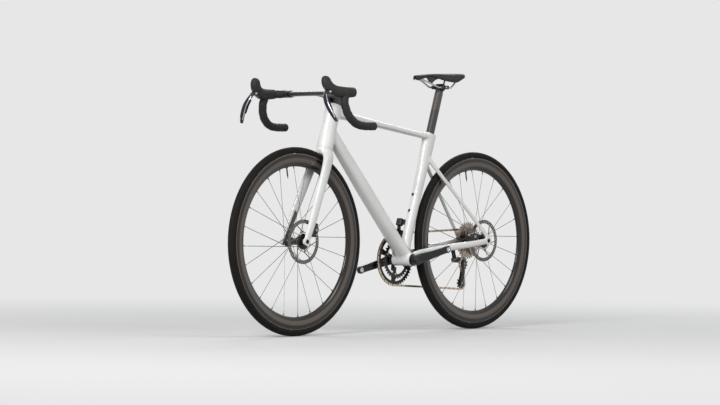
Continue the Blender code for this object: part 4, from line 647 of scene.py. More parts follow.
cover = turned([(0.0147, 0.0003), (0.0281, 0.0003), (0.0284, 0.0008), (0.0281, 0.0022), (0.0258, 0.007),
                (0.0238, 0.0114), (0.0233, 0.0121), (0.0147, 0.0121)],
               steer_point(head_top), steer_up, loop=True)
piece("headset_cone", cover, "steering", black_metal, "black_metal", "headset_cover")

stem_bottom, stem_top = 0.5451, 0.5791
stem_back = steer_point((stem_bottom + stem_top) / 2)
bar_middle = Vector((stem_back.x + 0.092, 0, 0.876))
bar_radius = 0.0119
bar_rows = rows_from(bar_middle, (
    (0, 0, 0, 0.02, 0.0088), (0, 0.04, 0, 0.02, 0.0088), (0.001, 0.085, 0, 0.02, 0.0088),
    (0.002, 0.135, 0, 0.0195, 0.0098), (0.008, 0.167, 0, 0.015, 0.0112)))
bar_rows += [(bar_middle + Vector(place), bar_radius, bar_radius) for place in (
    (0.026, 0.189, -0.001), (0.052, 0.197, -0.003), (0.068, 0.198, -0.01), (0.08, 0.1996, -0.03),
    (0.078, 0.2049, -0.06), (0.064, 0.2102, -0.0888), (0.036, 0.2146, -0.1116), (0, 0.2172, -0.12),
    (-0.057, 0.219, -0.12))]


def bar_places(first, steps, grow=0.0):
    """Rings along the left half of the bar, carried out from its middle without a twist."""
    line = through(bar_rows, steps)
    fore = X
    places = []
    for index, now in enumerate(line):
        before, after = line[max(index - 1, 0)], line[min(index + 1, len(line) - 1)]
        tangent = Vector((after - before)[:3]).normalized() if index else Y
        fore = (fore - tangent * fore.dot(tangent)).normalized()
        high = tangent.cross(fore)
        places.append(place_matrix(Vector(now[:3]), fore * (now[3] + grow), high * (now[4] + grow), tangent))
    return places[first * steps:]


def mirrored(place):
    """The same ring on the right side of the bike."""
    return Matrix.Diagonal((1, -1, 1, 1)) @ place @ Matrix.Diagonal((1, 1, -1, 1))


left_half = bar_places(0, 6)
whole_bar = tube([mirrored(place) for place in reversed(left_half[1:])] + left_half, 28, 2.2)
lead = (bar_middle - stem_back).normalized()
stem_post = loft([(steer_point(stem_bottom - 0.004), 0.0195, 0.0215),
                  (steer_point(stem_top + 0.004), 0.019, 0.0205)], power=2.4, sides=36)
stem_body = loft([(stem_back + lead * 0.004, 0.018, 0.012), (stem_back + lead * 0.045, 0.0175, 0.0115),
                  (bar_middle + lead * 0.002, 0.026, 0.0086)], power=2.8, sides=32)
bar_skin = melted([whole_bar, stem_post, stem_body], 0.002, rounds=6,
                  corners=[(bar_middle - lead * 0.02, 0.045), (stem_back + lead * 0.02, 0.04)], fills=40)
clamp_length = stem_top - stem_bottom
stem_bore = bore(steer_point(stem_bottom), steer_up, -0.02, (0.03, 0), (0.0147, clamp_length),
                 (0.03, clamp_length + 0.02))
piece("handlebar_moulding", carved(bar_skin, stem_bore), "steering", carbon, "dark_carbon", "handlebar")

cap_place = steer_point(stem_top + 0.0003)
cap = turned([(0, 0), (0.0163, 0), (0.0165, 0.0004), (0.0164, 0.002), (0.0152, 0.0033), (0.0062, 0.0035),
              (0.0057, 0.0031), (0.0056, 0.0014), (0, 0.0014)], cap_place, steer_up)
cap_bolt = bolt_head(cap_place + steer_up * 0.0014, steer_up, 0.005, 0.0017, 0.58)
piece("stem_top_cap", together(cap, cap_bolt), "steering", black_metal, "black_metal", "stem_cap")

# Bar tape: a cushioned strip wound outwards over half its own width, so that each turn steps down
# on to the last one. A band of finishing tape holds its inner end and a plug its outer one.

cushion = finish("cushioned_tape", {"IOR": 1.36})
around_bar, across_bar, along_bar = Wire.node("Attribute", {"attribute_name": "skin"}, None, "Vector").parts()
turning = Wire.maths("ARCTAN2", across_bar, around_bar)
dimples = (turning * 12.0).sine() * (along_bar * 2600.0).sine()
varied({"Base Color": (90, 4, (0.008, 0.008, 0.0082), (0.026, 0.025, 0.0245)),
        "Roughness": (35, 3, 0.52, 0.74),
        "Normal": bump(dimples.rise(-0.6, 0.6) + noise(object_place(), 900, 3) * 0.5, 0.0001)})

turn_length, tape_thickness, turn_step = 0.028, 0.0029, 0.001


def wound_tape(places):
    """The bar's skin, raised where each turn begins and thinner where it ends."""
    bm = tube(places, 28, 2.2)
    skin = bm.verts.layers.float_vector["skin"]
    bm.normal_update()
    last = max(vert[skin].z for vert in bm.verts)
    for vert in bm.verts:
        x, y, distance = vert[skin]
        turn = (distance / turn_length - math.atan2(y, x) / (2 * math.pi)) % 1.0
        height = min(turn / 0.07, 1.0) * (1 - turn) + 0.22 * math.sin(math.pi * turn)
        if 1e-6 < distance < last - 1e-6:
            vert.co += vert.normal * turn_step * (height - 0.55)
    return bm


plug = turned([(0, 0.0003), (0.014, 0.0003), (0.0147, 0.001), (0.0147, 0.0024), (0.0136, 0.004),
               (0.0105, 0.0052), (0.006, 0.0055), (0, 0.0053)], Vector(), Z, 48)
for name, side in hands:
    places = bar_places(3, 44, tape_thickness - turn_step * 0.45)
    band = bar_places(3, 44, tape_thickness + 0.0003)[:16]
    end, before = bar_rows[-1][0], bar_rows[-2][0]
    if side < 0:
        places, band = [[mirrored(place) for place in rings] for rings in (places, band)]
        end, before = flipped(end), flipped(before)
    tape = wound_tape(places)
    piece("wound_tape_" + name, tape, "steering", cushion, "black_tape", "bar_tape_" + name, sharp=60)
    piece("finishing_band_" + name, tube(band, 40, 2.2), "steering", black_metal, "black_metal")
    turned_plug = stood(plug.copy(), end, end - before)
    piece("end_plug_" + name, turned_plug, "steering", black_metal, "black_metal", "bar_plug_" + name)

# Levers: a carbon-filled body on each side of the bar under a moulded rubber hood that turns up in a
# horn, with the brake blade in a slot on its pivot pin and the shift paddle behind the blade.

rubber = finish("hood_rubber", {"IOR": 1.36})
ahead, beside, height = object_place().parts()
knurl = (ahead * 1900.0 + height * 1100.0).sine() * (ahead * 1900.0 - height * 1100.0).sine()
varied({"Base Color": (45, 4, (0.015, 0.0135, 0.0125), (0.034, 0.0305, 0.028)),
        "Roughness": (60, 3, 0.5, 0.68),
        "Normal": bump(knurl.rise(-0.2, 0.8) + noise(object_place(), 700, 2) * 0.6, 0.0001)})

moulded_plastic = finish("moulded_black_plastic", {"IOR": 1.5})
varied({"Base Color": (50, 3, (0.01, 0.01, 0.011), (0.026, 0.026, 0.027)),
        "Roughness": (80, 4, 0.22, 0.4), "Normal": (1200, 2, 0.00003)})

polished = finish("polished_aluminium", {"Metallic": 1.0})
varied({"Base Color": (25, 3, (0.55, 0.55, 0.56), (0.74, 0.74, 0.75)),
        "Roughness": noise(object_place() * (1.0, 1.0, 6.0), 120, 3).blend(0.14, 0.3),
        "Normal": (900, 2, 0.00002)})

dark_mirror = finish("dark_plated_face", {"Metallic": 1.0})
varied({"Base Color": (30, 3, (0.02, 0.023, 0.032), (0.06, 0.066, 0.088)), "Roughness": (70, 3, 0.08, 0.2)})


def block(centre, first, second, third):
    """A box from its middle and three half edges."""
    bm = bmesh.new()
    bmesh.ops.create_cube(bm, size=2, matrix=place_matrix(centre, first, second, third))
    return bm


hood_shape = ((0.032, 0.1961, -0.001, 0.0166, 0.0162), (0.034, 0.1962, -0.001, 0.0182, 0.0178),
              (0.06, 0.197, -0.002, 0.0185, 0.0188), (0.088, 0.1935, -0.002, 0.0178, 0.02),
              (0.114, 0.186, 0.001, 0.0168, 0.0205), (0.135, 0.18, 0.012, 0.0164, 0.02),
              (0.147, 0.1755, 0.028, 0.016, 0.019), (0.1495, 0.173, 0.043, 0.0142, 0.0164),
              (0.1488, 0.1722, 0.0508, 0.0094, 0.0108), (0.1484, 0.1719, 0.0536, 0.0042, 0.0051))
blade_out, blade_drop = 0.052, 0.104
blade_shape = ((0.000, 0.0, 0.0, 0.007, 0.006), (0.014, 0.13, 0.08, 0.0078, 0.0054),
               (0.022, 0.4, 0.36, 0.0092, 0.0056), (0.018, 0.72, 0.7, 0.0086, 0.0052),
               (0.008, 1.0, 1.0, 0.007, 0.0042))
paddle_shape = ((0.0, 0.0, 0.0, 0.0055, 0.003), (0.004, 0.014, -0.022, 0.0085, 0.0018),
                (0.002, 0.026, -0.046, 0.0065, 0.0015), (0.0014, 0.0275, -0.048, 0.003, 0.001))


def hood_loft(side, grow):
    return loft([(bar_middle + Vector((x, y * side, z)), wide + grow, high + grow)
                 for x, y, z, wide, high in hood_shape], sides=40, steps=6)


def blade_loft(pivot, side, low, high, wide_share, thick_share, ahead=0.0):
    """Part of the blade's length, at a share of its width and thickness and moved forward."""
    steps = 10
    line = through([(pivot + Vector((fore, blade_out * out * side, -blade_drop * down)), wide, thick)
                    for fore, down, out, wide, thick in blade_shape], steps)
    count = (len(blade_shape) - 1) * steps
    rows = []
    for index in range(round(low * count), round(high * count) + 1):
        *place, wide, thick = line[index]
        share = index / count
        soft = min(1, 0.35 + (share - low) * 12, 0.35 + (high - share) * 12)
        rows.append((Vector(place) + X * thick * ahead, wide * wide_share * soft, thick * thick_share))
    return loft(rows, power=2.6, steps=1)


def paddle_loft(hinge, side, rows, wide_share=1.0, ahead=0.0, **shape):
    return loft([(hinge + Vector((fore + ahead, out * side, down)), wide * wide_share, thick)
                 for fore, out, down, wide, thick in rows], **shape)


for name, side in hands:
    pivot = axis_place(f"brake_lever_{name}_pull")
    slot_cut = block(pivot + Vector((0.014, 0, -0.014)), X * 0.026, Y * 0.0092, Z * 0.021)
    nose = Vector((0.61, 0, -0.79)).normalized()
    nose_middle = bar_middle + Vector((0.135, 0.18 * side, 0.012))
    nose_cut = block(nose_middle + nose * 0.0335, nose * 0.02, Y * 0.03, nose.cross(Y) * 0.034)
    hood = carved(carved(hood_loft(side, 0.0), slot_cut.copy()), nose_cut)
    piece("rubber_hood_" + name, hood, "steering", rubber, "black_rubber", "lever_hood_" + name)
    body = carved(hood_loft(side, -0.0013), slot_cut)
    pin = [turned([(0, 0.0112), (0.004, 0.0112), (0.004, 0.016), (0.0034, 0.0167), (0.0014, 0.0168),
                   (0.0013, 0.0162), (0, 0.0162)], pivot, Y * way, 24) for way in (1, -1)]
    piece("lever_body_" + name, body, "steering", moulded_plastic, "black_rubber", "lever_hood_" + name)
    piece("pivot_pin_caps_" + name, together(*pin), "steering", polished, "silver")
    mover = name + "_brake_lever"
    boss = axle_rod(pivot, 0.0088, 0.006, soft=0.0008)
    tip = pivot + Vector((blade_shape[-1][0], blade_out * side, -blade_drop))
    along_tip = Vector((-0.01, 0.0156 * side, -0.0291)).normalized()
    bead = loft([(tip + along_tip * along, *size) for along, *size in
                 ((-0.003, 0.006, 0.0035), (-0.0005, 0.0064, 0.004), (0.0018, 0.0058, 0.0038),
                  (0.0034, 0.003, 0.0022))], power=2.4)
    core = together(blade_loft(pivot, side, 0.0, 1.0, 1.0, 1.0), boss, bead)
    piece("brake_blade_" + name, core, mover, moulded_plastic, "silver", "brake_lever_" + name)
    rim = blade_loft(pivot, side, 0.15, 0.925, 1.02, 0.42, 0.6)
    piece("blade_edging_" + name, rim, mover, polished, "silver")
    face = blade_loft(pivot, side, 0.2, 0.9, 0.86, 0.5, 0.66)
    ring = turned([(0.0016, 0), (0.0026, 0), (0.0026, 0.0044), (0.0016, 0.0044)],
                  tip - along_tip * 0.004, X, 24, loop=True)
    piece("blade_face_" + name, together(face, ring), mover, dark_mirror, "silver")
    hinge = pivot + Vector((0.0085, 0.006 * side, -0.022))
    paddle = together(paddle_loft(hinge, side, paddle_shape, power=2.4, steps=8),
                      paddle_loft(hinge, side, paddle_shape[:3], 0.45, 0.0012, power=2.2, steps=6))
    piece("paddle_blade_" + name, paddle, name + "_shift_paddle", moulded_plastic, "black_metal",
          "shift_paddle_" + name)

# Wheels: rubber tyres on deep hollow carbon rims with a clear coat, 24 bladed steel spokes each in
# black alloy nipples, turned aluminium hubs, and valves that stand out of the rims. They are laced
# and trued by hand.

tread_rubber = finish("tyre_rubber", {"IOR": 1.36, "Specular IOR Level": 0.15})
ahead, beside, height = object_place().parts()
front_half = ahead.rise(-0.001, 0.001)
turn = Wire.maths("ARCTAN2", height - rear_axle.z,
                  ahead - front_half * front_axle.x - (1.0 - front_half) * rear_axle.x)
files = (turn * 420.0 + abs(beside) * 1500.0).sine().rise(-0.2, 0.5)
shoulder = abs(beside).rise(0.005, 0.0062) * (1.0 - abs(beside).rise(0.0105, 0.0115))
varied({"Base Color": (22, 4, (0.0065, 0.006, 0.0058), (0.0175, 0.016, 0.015)),
        "Roughness": (55, 3, 0.5, 0.7),
        "Normal": bump(files * shoulder + noise(object_place(), 800, 2) * 0.3, 0.00012)})

rim_carbon = finish("rim_carbon", {"IOR": 1.45, "Specular IOR Level": 0.35, "Coat Roughness": 0.05})
where = object_place()
ahead, beside, height = where.parts()
strands = noise(where * (1.0, 0.25, 1.0), 260, 3)
from_axle = ((abs(ahead) - front_axle.x) ** 2.0 + (height - front_axle.z) ** 2.0) ** 0.5
# Painted light on the rim: a warm tan band across the middle of the wall stands in for the lamps' reflection
# in the clear coat, and a light line just inside the outer edge stands in for a highlight. Only the dark
# mottled base is the carbon's own colour.
painted_reflection_band = from_axle.rise(0.282, 0.288) * (0.304 - from_axle).rise(0.0, 0.007)
painted_highlight_line = from_axle.rise(0.3128, 0.3138) * (0.3163 - from_axle).rise(-0.0004, 0.0004)
bare = noise(where, 9, 5).blend((0.0035, 0.0032, 0.003), (0.015, 0.0125, 0.0108))
# The painted reflection band and the painted highlight line are laid over the bare carbon's colour.
varied({"Base Color": (painted_reflection_band * 0.9).most(painted_highlight_line).blend(bare, (0.118, 0.09, 0.071)),
        "Roughness": strands.blend(0.16, 0.34), "Coat Weight": (5, 2, 0.22, 0.5),
        "Normal": bump(strands, 0.00002)})

spoke_steel = finish("blackened_spoke_steel", {"Metallic": 1.0})
varied({"Base Color": (40, 3, (0.16, 0.155, 0.15), (0.3, 0.29, 0.28)), "Roughness": (150, 2, 0.2, 0.36)})

disc_steel = finish("ground_disc_steel", {"Metallic": 1.0})
varied({"Base Color": (45, 3, (0.08, 0.075, 0.07), (0.2, 0.188, 0.175)), "Roughness": (130, 4, 0.24, 0.42),
        "Normal": bump(noise(object_place() * (1.0, 3.0, 1.0), 1400, 2), 0.00003)})


def arc(middle, reach, start, end, steps, squash=1.0):
    """Points of an outline on a round stretch about (middle, 0), between two angles in degrees."""
    turns = [math.radians(start + (end - start) * step / steps) for step in range(steps + 1)]
    return [(middle + reach * math.cos(turn), reach * squash * math.sin(turn)) for turn in turns]


valve_angle = math.radians(79.5)
spoke_count = 24
tyre_middle, sidewall, tread, lining = 0.3255, 0.0141, 0.0145, 0.0118
tyre_profile = (arc(tyre_middle, sidewall, -125, -50, 12) + arc(tyre_middle, tread, -43.75, 43.75, 14)
                + arc(tyre_middle, sidewall, 50, 125, 12) + arc(tyre_middle, lining, 122, -122, 16))
rim_half = [(0.3163, 0.0108), (0.3168, 0.0116), (0.3167, 0.0124), (0.316, 0.0128), (0.312, 0.0131),
            (0.307, 0.0134), (0.3008, 0.0135), (0.2945, 0.0131), (0.288, 0.0121), (0.282, 0.0104),
            (0.277, 0.0083), (0.273, 0.0058), (0.2706, 0.0034), (0.2698, 0.0012)]
rim_profile = rim_half + [(radius, -beside) for radius, beside in reversed(rim_half)]


def hub_outline(half, carrier, left, right, bare_end):
    """The hub from its left end cap to its right one, or to the flange where a freehub follows."""
    cap = [(0.0088, half), (0.0097, half - 0.0006), (0.01, half - 0.0018)]
    flange = [(0.022, 0.0013), (0.0212, 0.0021), (0.0165, 0.0045), (0.0134, 0.009), (0.0121, 0.014)]
    profile = [(0.0063, half), *cap, (0.01, half - 0.0045), (0.0094, half - 0.005), (0.0094, half - 0.006),
               (0.01, half - 0.0065), (0.01, carrier + 0.0002), (0.0184, carrier), (0.019, carrier - 0.0008),
               (0.019, left + 0.0024), (0.0214, left + 0.0022), (0.022, left + 0.0015),
               *[(radius, left - inward) for radius, inward in flange],
               *[(radius, right + inward) for radius, inward in reversed(flange)],
               (0.022, right - 0.0015), (0.0214, right - 0.002)]
    if bare_end:
        profile += [(0.015, right - 0.0036), (0.0106, right - 0.0076), (0.01, right - 0.0088),
                    *[(radius, -along) for radius, along in reversed(cap)]]
    return profile + [(0.0063, profile[-1][1])]


def spoke_angle(index):
    return valve_angle + 2 * math.pi * (index + 0.5) / spoke_count


def rim_side(index):
    """How far to the left a spoke meets the rim. They go left and right by turns."""
    return -0.0016 if index % 2 else 0.0016


def bladed_spoke(axle, index, flanges):
    """A straight spoke: round where it leaves the flange and enters the rim, flattened between."""
    lean = math.radians(62 if index % 4 < 2 else -62)
    start = axle + around(spoke_angle(index) + lean, 0.02, flanges[index % 2])
    end = axle + around(spoke_angle(index), 0.269, rim_side(index))
    wire, blade = (0.001, 0.001), (0.0005, 0.0012)
    sizes = ((0, wire), (0.05, wire), (0.09, blade), (0.9, blade), (0.94, wire), (1, wire))
    return loft([(start.lerp(end, share), *size) for share, size in sizes], sides=8, power=2, steps=1)


def nipple(axle, index):
    angle, left = spoke_angle(index), rim_side(index)
    start, end = axle + around(angle, 0.262, left * 1.5), axle + around(angle, 0.2712, left)
    return rod(start, end, 0.0017, 0.0021, sides=8)


def thread(first, second, turns, pitch):
    """The outline of a screw thread, from the (radius, distance) of its first crest and root."""
    return [(radius, start + turn * pitch) for turn in range(turns) for radius, start in (first, second)]


def valve_stem(axle):
    """Threaded stem with its rim nut and a small core nut at the end."""
    profile = [(0, 0), (0.0011, 0), (0.0012, 0.003), (0.002, 0.0034), (0.0021, 0.006), (0.0012, 0.0064),
               (0.0013, 0.008), (0.0027, 0.0084),
               *thread((0.0029, 0.009), (0.0026, 0.00965), 22, 0.0013), (0.0028, 0.038), (0.005, 0.0381),
               (0.0052, 0.0386), (0.0052, 0.0398), (0.0048, 0.0402), (0.0028, 0.0402), (0.0028, 0.086),
               (0, 0.086)]
    out = around(valve_angle)
    return turned(profile, axle + out * 0.2298, out, 20)


# Discs: a ground steel band with slots for cooling on six bent arms, held on the hub by a splined
# aluminium carrier and its lockring.


def ring_band(centre, inner, outer, thick, steps, wave=None):
    """A flat ring in the plane of the wheel, with its outer edge shaped by a function of the angle."""
    bm = bmesh.new()
    for vert in bmesh.ops.create_circle(bm, segments=steps, radius=1)["verts"]:
        vert.co *= outer + (wave(math.atan2(vert.co.y, vert.co.x)) if wave else 0)
    bmesh.ops.create_circle(bm, segments=steps, radius=inner)
    faces = bmesh.ops.bridge_loops(bm, edges=bm.edges[:])["faces"]
    grown = bmesh.ops.extrude_face_region(bm, geom=faces)["geom"]
    bmesh.ops.translate(bm, vec=(0, 0, thick), verts=only_verts(grown))
    bmesh.ops.translate(bm, vec=(0, 0, -thick / 2), verts=bm.verts)
    bmesh.ops.rotate(bm, verts=bm.verts, matrix=Matrix.Rotation(math.pi / 2, 3, "X"))
    bmesh.ops.translate(bm, vec=centre, verts=bm.verts)
    bmesh.ops.recalc_face_normals(bm, faces=bm.faces)
    return bm


def slotted_band(centre):
    """The braking band with slanted slots in groups of three."""
    count, slots = 45, []
    for index in range(count):
        angle = 2 * math.pi * index / count
        middle, out = centre + around(angle, (0.0698, 0.073, 0.0762)[index % 3]), around(angle + 0.6)
        slots.append(block(middle, out * 0.003, Y * 0.004, out.cross(Y) * 0.00125))
    return carved(ring_band(centre, 0.0662, 0.08, 0.0018, 180), *slots)


def disc_arms(centre):
    """Six bent arms and the six-sided ring that they spring from."""
    arms = []
    for index in range(6):
        angle = math.radians(80 - 60 * index)
        elbow, next_elbow = around(angle, 0.0385), around(angle - math.pi / 3, 0.0385)
        foot = around(angle - math.radians(20), 0.0675)
        inward = around(angle - math.radians(6), 0.027)
        for start, end, wide in ((elbow, foot, 0.0015), (elbow, next_elbow, 0.0012), (inward, elbow, 0.0019)):
            along = (end - start) / 2
            across = along.cross(Y).normalized()
            arms.append(block(centre + (start + end) / 2, along * 1.02, Y * 0.0008, across * wide))
        arms.append(ring_band(centre + elbow, 0.0011, 0.0026, 0.0017, 14))
    return together(*arms)


def spline_wave(angle):
    return 0.0008 * max(-0.5, min(0.5, 2 * math.sin(angle * 24)))


disc_sides = {"front": 0.039, "rear": 0.052}
for name, axle, width, flanges in (("front", front_axle, 0.1, (0.027, -0.034)),
                                   ("rear", rear_axle, 0.142, (0.033, -0.018))):
    wheel = name + "_wheel"
    casing = turned(tyre_profile, axle, Y, 160, loop=True)
    piece(name + "_tyre_casing", casing, wheel, tread_rubber, "tyre", name + "_tyre", sharp=40)
    rim = turned(rim_profile, axle, Y, 160, loop=True)
    piece(name + "_rim_shell", rim, wheel, rim_carbon, "dark_carbon", name + "_rim", sharp=40)
    piece(name + "_valve_stem", valve_stem(axle), wheel, black_metal, "black_metal", name + "_valve")
    outline = hub_outline(width / 2 - 0.0003, disc_sides[name] - 0.0012, *flanges, name == "front")
    hub = turned(outline, axle, Y, 56, loop=True)
    piece(name + "_hub_shell", hub, wheel, black_metal, "black_metal", name + "_hub")
    spokes = together(*[bladed_spoke(axle, index, flanges) for index in range(spoke_count)])
    piece(name + "_spokes", spokes, wheel, spoke_steel, "steel", name + "_hub")
    nipples = together(*[nipple(axle, index) for index in range(spoke_count)])
    piece(name + "_nipples", nipples, wheel, black_metal, "black_metal")
    place = axle + Y * disc_sides[name]
    disc = together(slotted_band(place), disc_arms(place))
    piece(name + "_brake_disc", disc, wheel, disc_steel, "steel", name + "_rotor", sharp=30)
    carrier = together(ring_band(place, 0.0103, 0.0288, 0.0022, 72),
                       ring_band(place + Y * 0.0024, 0.0103, 0.0205, 0.004, 192, spline_wave))
    piece(name + "_disc_carrier", carrier, wheel, black_metal, "black_metal", name + "_rotor")

sleeve = turned([(0.0063, -0.0203), (0.01, -0.0203), (0.01, -0.0688), (0.0094, -0.0694), (0.0094, -0.07),
                 (0.0088, -0.0707), (0.0063, -0.0707)], rear_axle, Y, 48, loop=True)
piece("freehub_axle_sleeve", sleeve, "rear_wheel", black_metal, "black_metal", "freehub_sleeve")

# Brake calipers: two halves of forged alloy bolted round the disc, with a bulged piston housing on
# each side, flat-mount feet, and steel-backed pads on both sides of the disc.


def caliper_shape(disc_middle, middle, out):
    """A body with its mounting wing and bulged housings, melted together, and the disc's slot cut."""
    along = out.cross(Y).normalized()
    body = softened(block(middle, along * 0.013, Y * 0.0132, out * 0.0128), 0.005, 4)
    wing = softened(block(middle - out * 0.0008, along * 0.0255, Y * 0.0105, out * 0.0085), 0.004, 4)
    housings = [turned([(0, -0.003), (0.01, -0.003), (0.0104, 0.0006), (0.0096, 0.0016), (0.006, 0.002),
                        (0, 0.002)], middle + Y * way * 0.0118, Y * way, 40) for way in (1, -1)]
    skin = melted([body, wing, *housings], 0.0011, rounds=4, corners=[(middle, 0.04)], fills=20)
    return carved(skin, axle_rod(disc_middle, 0.0043, 0.082, sides=96))


for name, body, axle, stay in (("front", "steering", front_axle, steer_up),
                               ("rear", "frame_body", rear_axle, around(math.radians(-9.8)))):
    disc_middle = axle + Y * disc_sides[name]
    middle = sum(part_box(name + "_caliper"), Vector()) / 2
    out = sum(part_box(name + "_pad_outer"), Vector()) / 2 - axle
    out.y = 0
    out.normalize()
    side_way = stay.cross(Y)
    if side_way.dot(middle - axle) < 0:
        side_way = -side_way
    middle.y = disc_sides[name] + 0.0025
    skin = caliper_shape(disc_middle, middle, side_way)
    piece(name + "_caliper_body", skin, body, black_metal, "black_metal", name + "_caliper", sharp=30)
    bolts = [bolt_head(middle + stay * way * 0.019 + side_way * 0.0072, side_way, 0.004, 0.0034)
             for way in (1, -1)]
    bolts.append(bolt_head(middle + Y * 0.0131, Y, 0.005, 0.0016, 0.45))
    bolts.append(bolt_head(middle + stay * 0.006 + side_way * 0.012 + Y * 0.008, side_way, 0.0028, 0.003))
    piece(name + "_caliper_bolts", together(*bolts), body, bright_steel, "steel")
    across = out.cross(Y).normalized()
    for word, way in (("outer", 1), ("inner", -1)):
        place = disc_middle + out * 0.073 + Y * way * 0.0027
        pad = block(place, across * 0.0063, Y * 0.0013, out * 0.0098)
        uprights = [edge for edge in pad.edges if abs((edge.verts[0].co - edge.verts[1].co).y) > 0.002]
        softened(pad, 0.0018, 3, uprights)
        tab = block(place + out * 0.0115, across * 0.003, Y * 0.0006, out * 0.0025)
        piece(f"{name}_{word}_pad_plate", together(pad, tab), f"{name}_pad_{word}_body", bright_steel,
              "black_metal", f"{name}_pad_{word}")

# Crankset: a steel spindle, two forged and black anodised arms, a four-armed spider on the right
# one, and two machined rings with real teeth, bolted to it.

ring_alloy = finish("machined_ring_alloy", {"Metallic": 0.9})
varied({"Base Color": (50, 3, (0.03, 0.029, 0.029), (0.085, 0.08, 0.076)), "Roughness": (120, 3, 0.22, 0.4),
        "Normal": bump(noise(object_place() * (1.0, 8.0, 1.0), 700, 2), 0.00002)})

bronze_steel = finish("plated_chain_steel", {"Metallic": 1.0})
varied({"Base Color": (110, 3, (0.3, 0.245, 0.195), (0.58, 0.5, 0.42)), "Roughness": (200, 3, 0.2, 0.4)})

crank_gloss = finish("gloss_black_crank", {"IOR": 1.45, "Specular IOR Level": 0.3, "Coat Roughness": 0.05})
varied({"Base Color": (14, 3, (0.0025, 0.0025, 0.0028), (0.0075, 0.0075, 0.008)),
        "Roughness": (40, 4, 0.22, 0.36), "Coat Weight": (8, 2, 0.12, 0.28)})

outer_teeth, inner_teeth, chained_sprocket, pulley_teeth = 48, 35, 21, 11
chain_side, inner_ring_side = -0.0455, -0.0385
link_pitch, link_count = 0.0127, 110


def plate(centre, first, second, outline, thick, soft=0.0):
    """A flat plate from an outline in the plane of two directions, with its rims softened."""
    bm = bmesh.new()
    face = bm.faces.new([bm.verts.new((x, y, -thick / 2)) for x, y in outline])
    grown = bmesh.ops.extrude_face_region(bm, geom=[face])["geom"]
    bmesh.ops.translate(bm, vec=(0, 0, thick), verts=only_verts(grown))
    if soft:
        softened(bm, soft, 2, level_edges(bm))
    bmesh.ops.transform(bm, matrix=place_matrix(centre, first, second, first.cross(second)), verts=bm.verts)
    bmesh.ops.recalc_face_normals(bm, faces=bm.faces)
    return bm


def pitch_radius(teeth):
    return link_pitch / (2 * math.sin(math.pi / teeth))


def toothed_ring(centre, teeth, gap_angle, inner, thick, steps=8):
    """A ring with a roller seat between every two teeth, the first seat at the given angle."""
    def wave(angle):
        share = (angle - gap_angle) * teeth / (2 * math.pi) % 1.0
        rise = min(max((1 - abs(2 * share - 1) - 0.22) / 0.55, 0), 1)
        return -0.0039 + 0.0072 * rise * rise * (3 - 2 * rise)

    pitch = pitch_radius(teeth)
    bm = ring_band((0, 0, 0), inner, pitch, thick, teeth * steps, wave)
    for vert in bm.verts:
        reach = math.hypot(vert.co.x, vert.co.z) - pitch
        if reach > -0.001:
            vert.co.y *= 1 - 0.55 * (reach + 0.001) / 0.0043
    bmesh.ops.translate(bm, vec=centre, verts=bm.verts)
    return bm


# Chain path: where the pins of the 110 links lie, round the outer ring, the tension and guide pulleys
# and the sixth smallest sprocket. Each ring on the way is turned so that its gaps hold the rollers.

guide, tension = axis_place("guide_pulley_spin"), axis_place("tension_pulley_spin")
wheels = ((bottom_bracket, outer_teeth, -1), (tension, pulley_teeth, -1), (guide, pulley_teeth, 1),
          (rear_axle, chained_sprocket, -1))


def run_angle(index):
    """The direction of the straight run that leaves a wheel."""
    centre, teeth, sense = wheels[index % 4]
    after, other_teeth, other_sense = wheels[(index + 1) % 4]
    across = after - centre
    drop = other_sense * pitch_radius(other_teeth) - sense * pitch_radius(teeth)
    return math.atan2(across.z, across.x) - math.asin(drop / math.hypot(across.x, across.z))


def rim_point(index, angle):
    centre, teeth, sense = wheels[index % 4]
    out = Vector((math.sin(angle), 0, -math.cos(angle)))
    return Vector((centre.x, 0, centre.z)) + out * pitch_radius(teeth) * sense


pins, gap_angles, travelled, wanted = [], {}, 0.0, 0.0
for index, (centre, teeth, sense) in enumerate(wheels):
    arriving, leaving = run_angle(index - 1), run_angle(index)
    wrap = ((leaving - arriving) * sense) % (2 * math.pi)
    links = wrap * teeth / (2 * math.pi)
    while wanted < travelled + links:
        pin = rim_point(index, arriving + sense * wrap * (wanted - travelled) / links)
        gap_angles.setdefault(index, math.atan2(pin.z - centre.z, pin.x - centre.x))
        pins.append(pin)
        wanted += 1
    travelled += links
    start, end = rim_point(index, leaving), rim_point(index + 1, leaving)
    links = (end - start).length / link_pitch
    while wanted < travelled + links and len(pins) < link_count:
        pins.append(start.lerp(end, (wanted - travelled) / links))
        wanted += 1
    travelled += links

crank_length, crank_degrees = 0.1725, -12.9
crank_way = around(math.radians(crank_degrees))
spider_ways = [around(math.radians(crank_degrees + turn)) for turn in (35, 110, 215, 290)]


def crank_arm(way, side):
    """The arm with its boss and eye melted together, then bored for the spindle and the pedal."""
    end, out = bottom_bracket + way * crank_length, Y * side
    arm = loft([(bottom_bracket + way * crank_length * share + out * left, wide, high)
                for share, left, high, wide in ((0, 0.0625, 0.019, 0.0085), (0.3, 0.065, 0.017, 0.008),
                                                (0.7, 0.067, 0.014, 0.0075), (1.0, 0.068, 0.0135, 0.0075))],
               power=3.0, sides=36, steps=8)
    boss = rod(bottom_bracket + out * 0.0466, bottom_bracket + out * 0.0715, 0.0195, sides=56, soft=0.0012)
    eye = rod(end + out * 0.0605, end + out * 0.0755, 0.014, sides=48, soft=0.0014)
    corner = (bottom_bracket + way * 0.018 + out * 0.058, 0.025)
    skin = melted([arm, boss, eye], 0.0014, rounds=5, corners=[corner], fills=25)
    ends = bore(bottom_bracket, out, 0.04, (0.03, 0.0466), (0.0123, 0.0675), steps=48)
    return carved(skin, ends, rod(end + out * 0.055, end + out * 0.09, 0.0094))


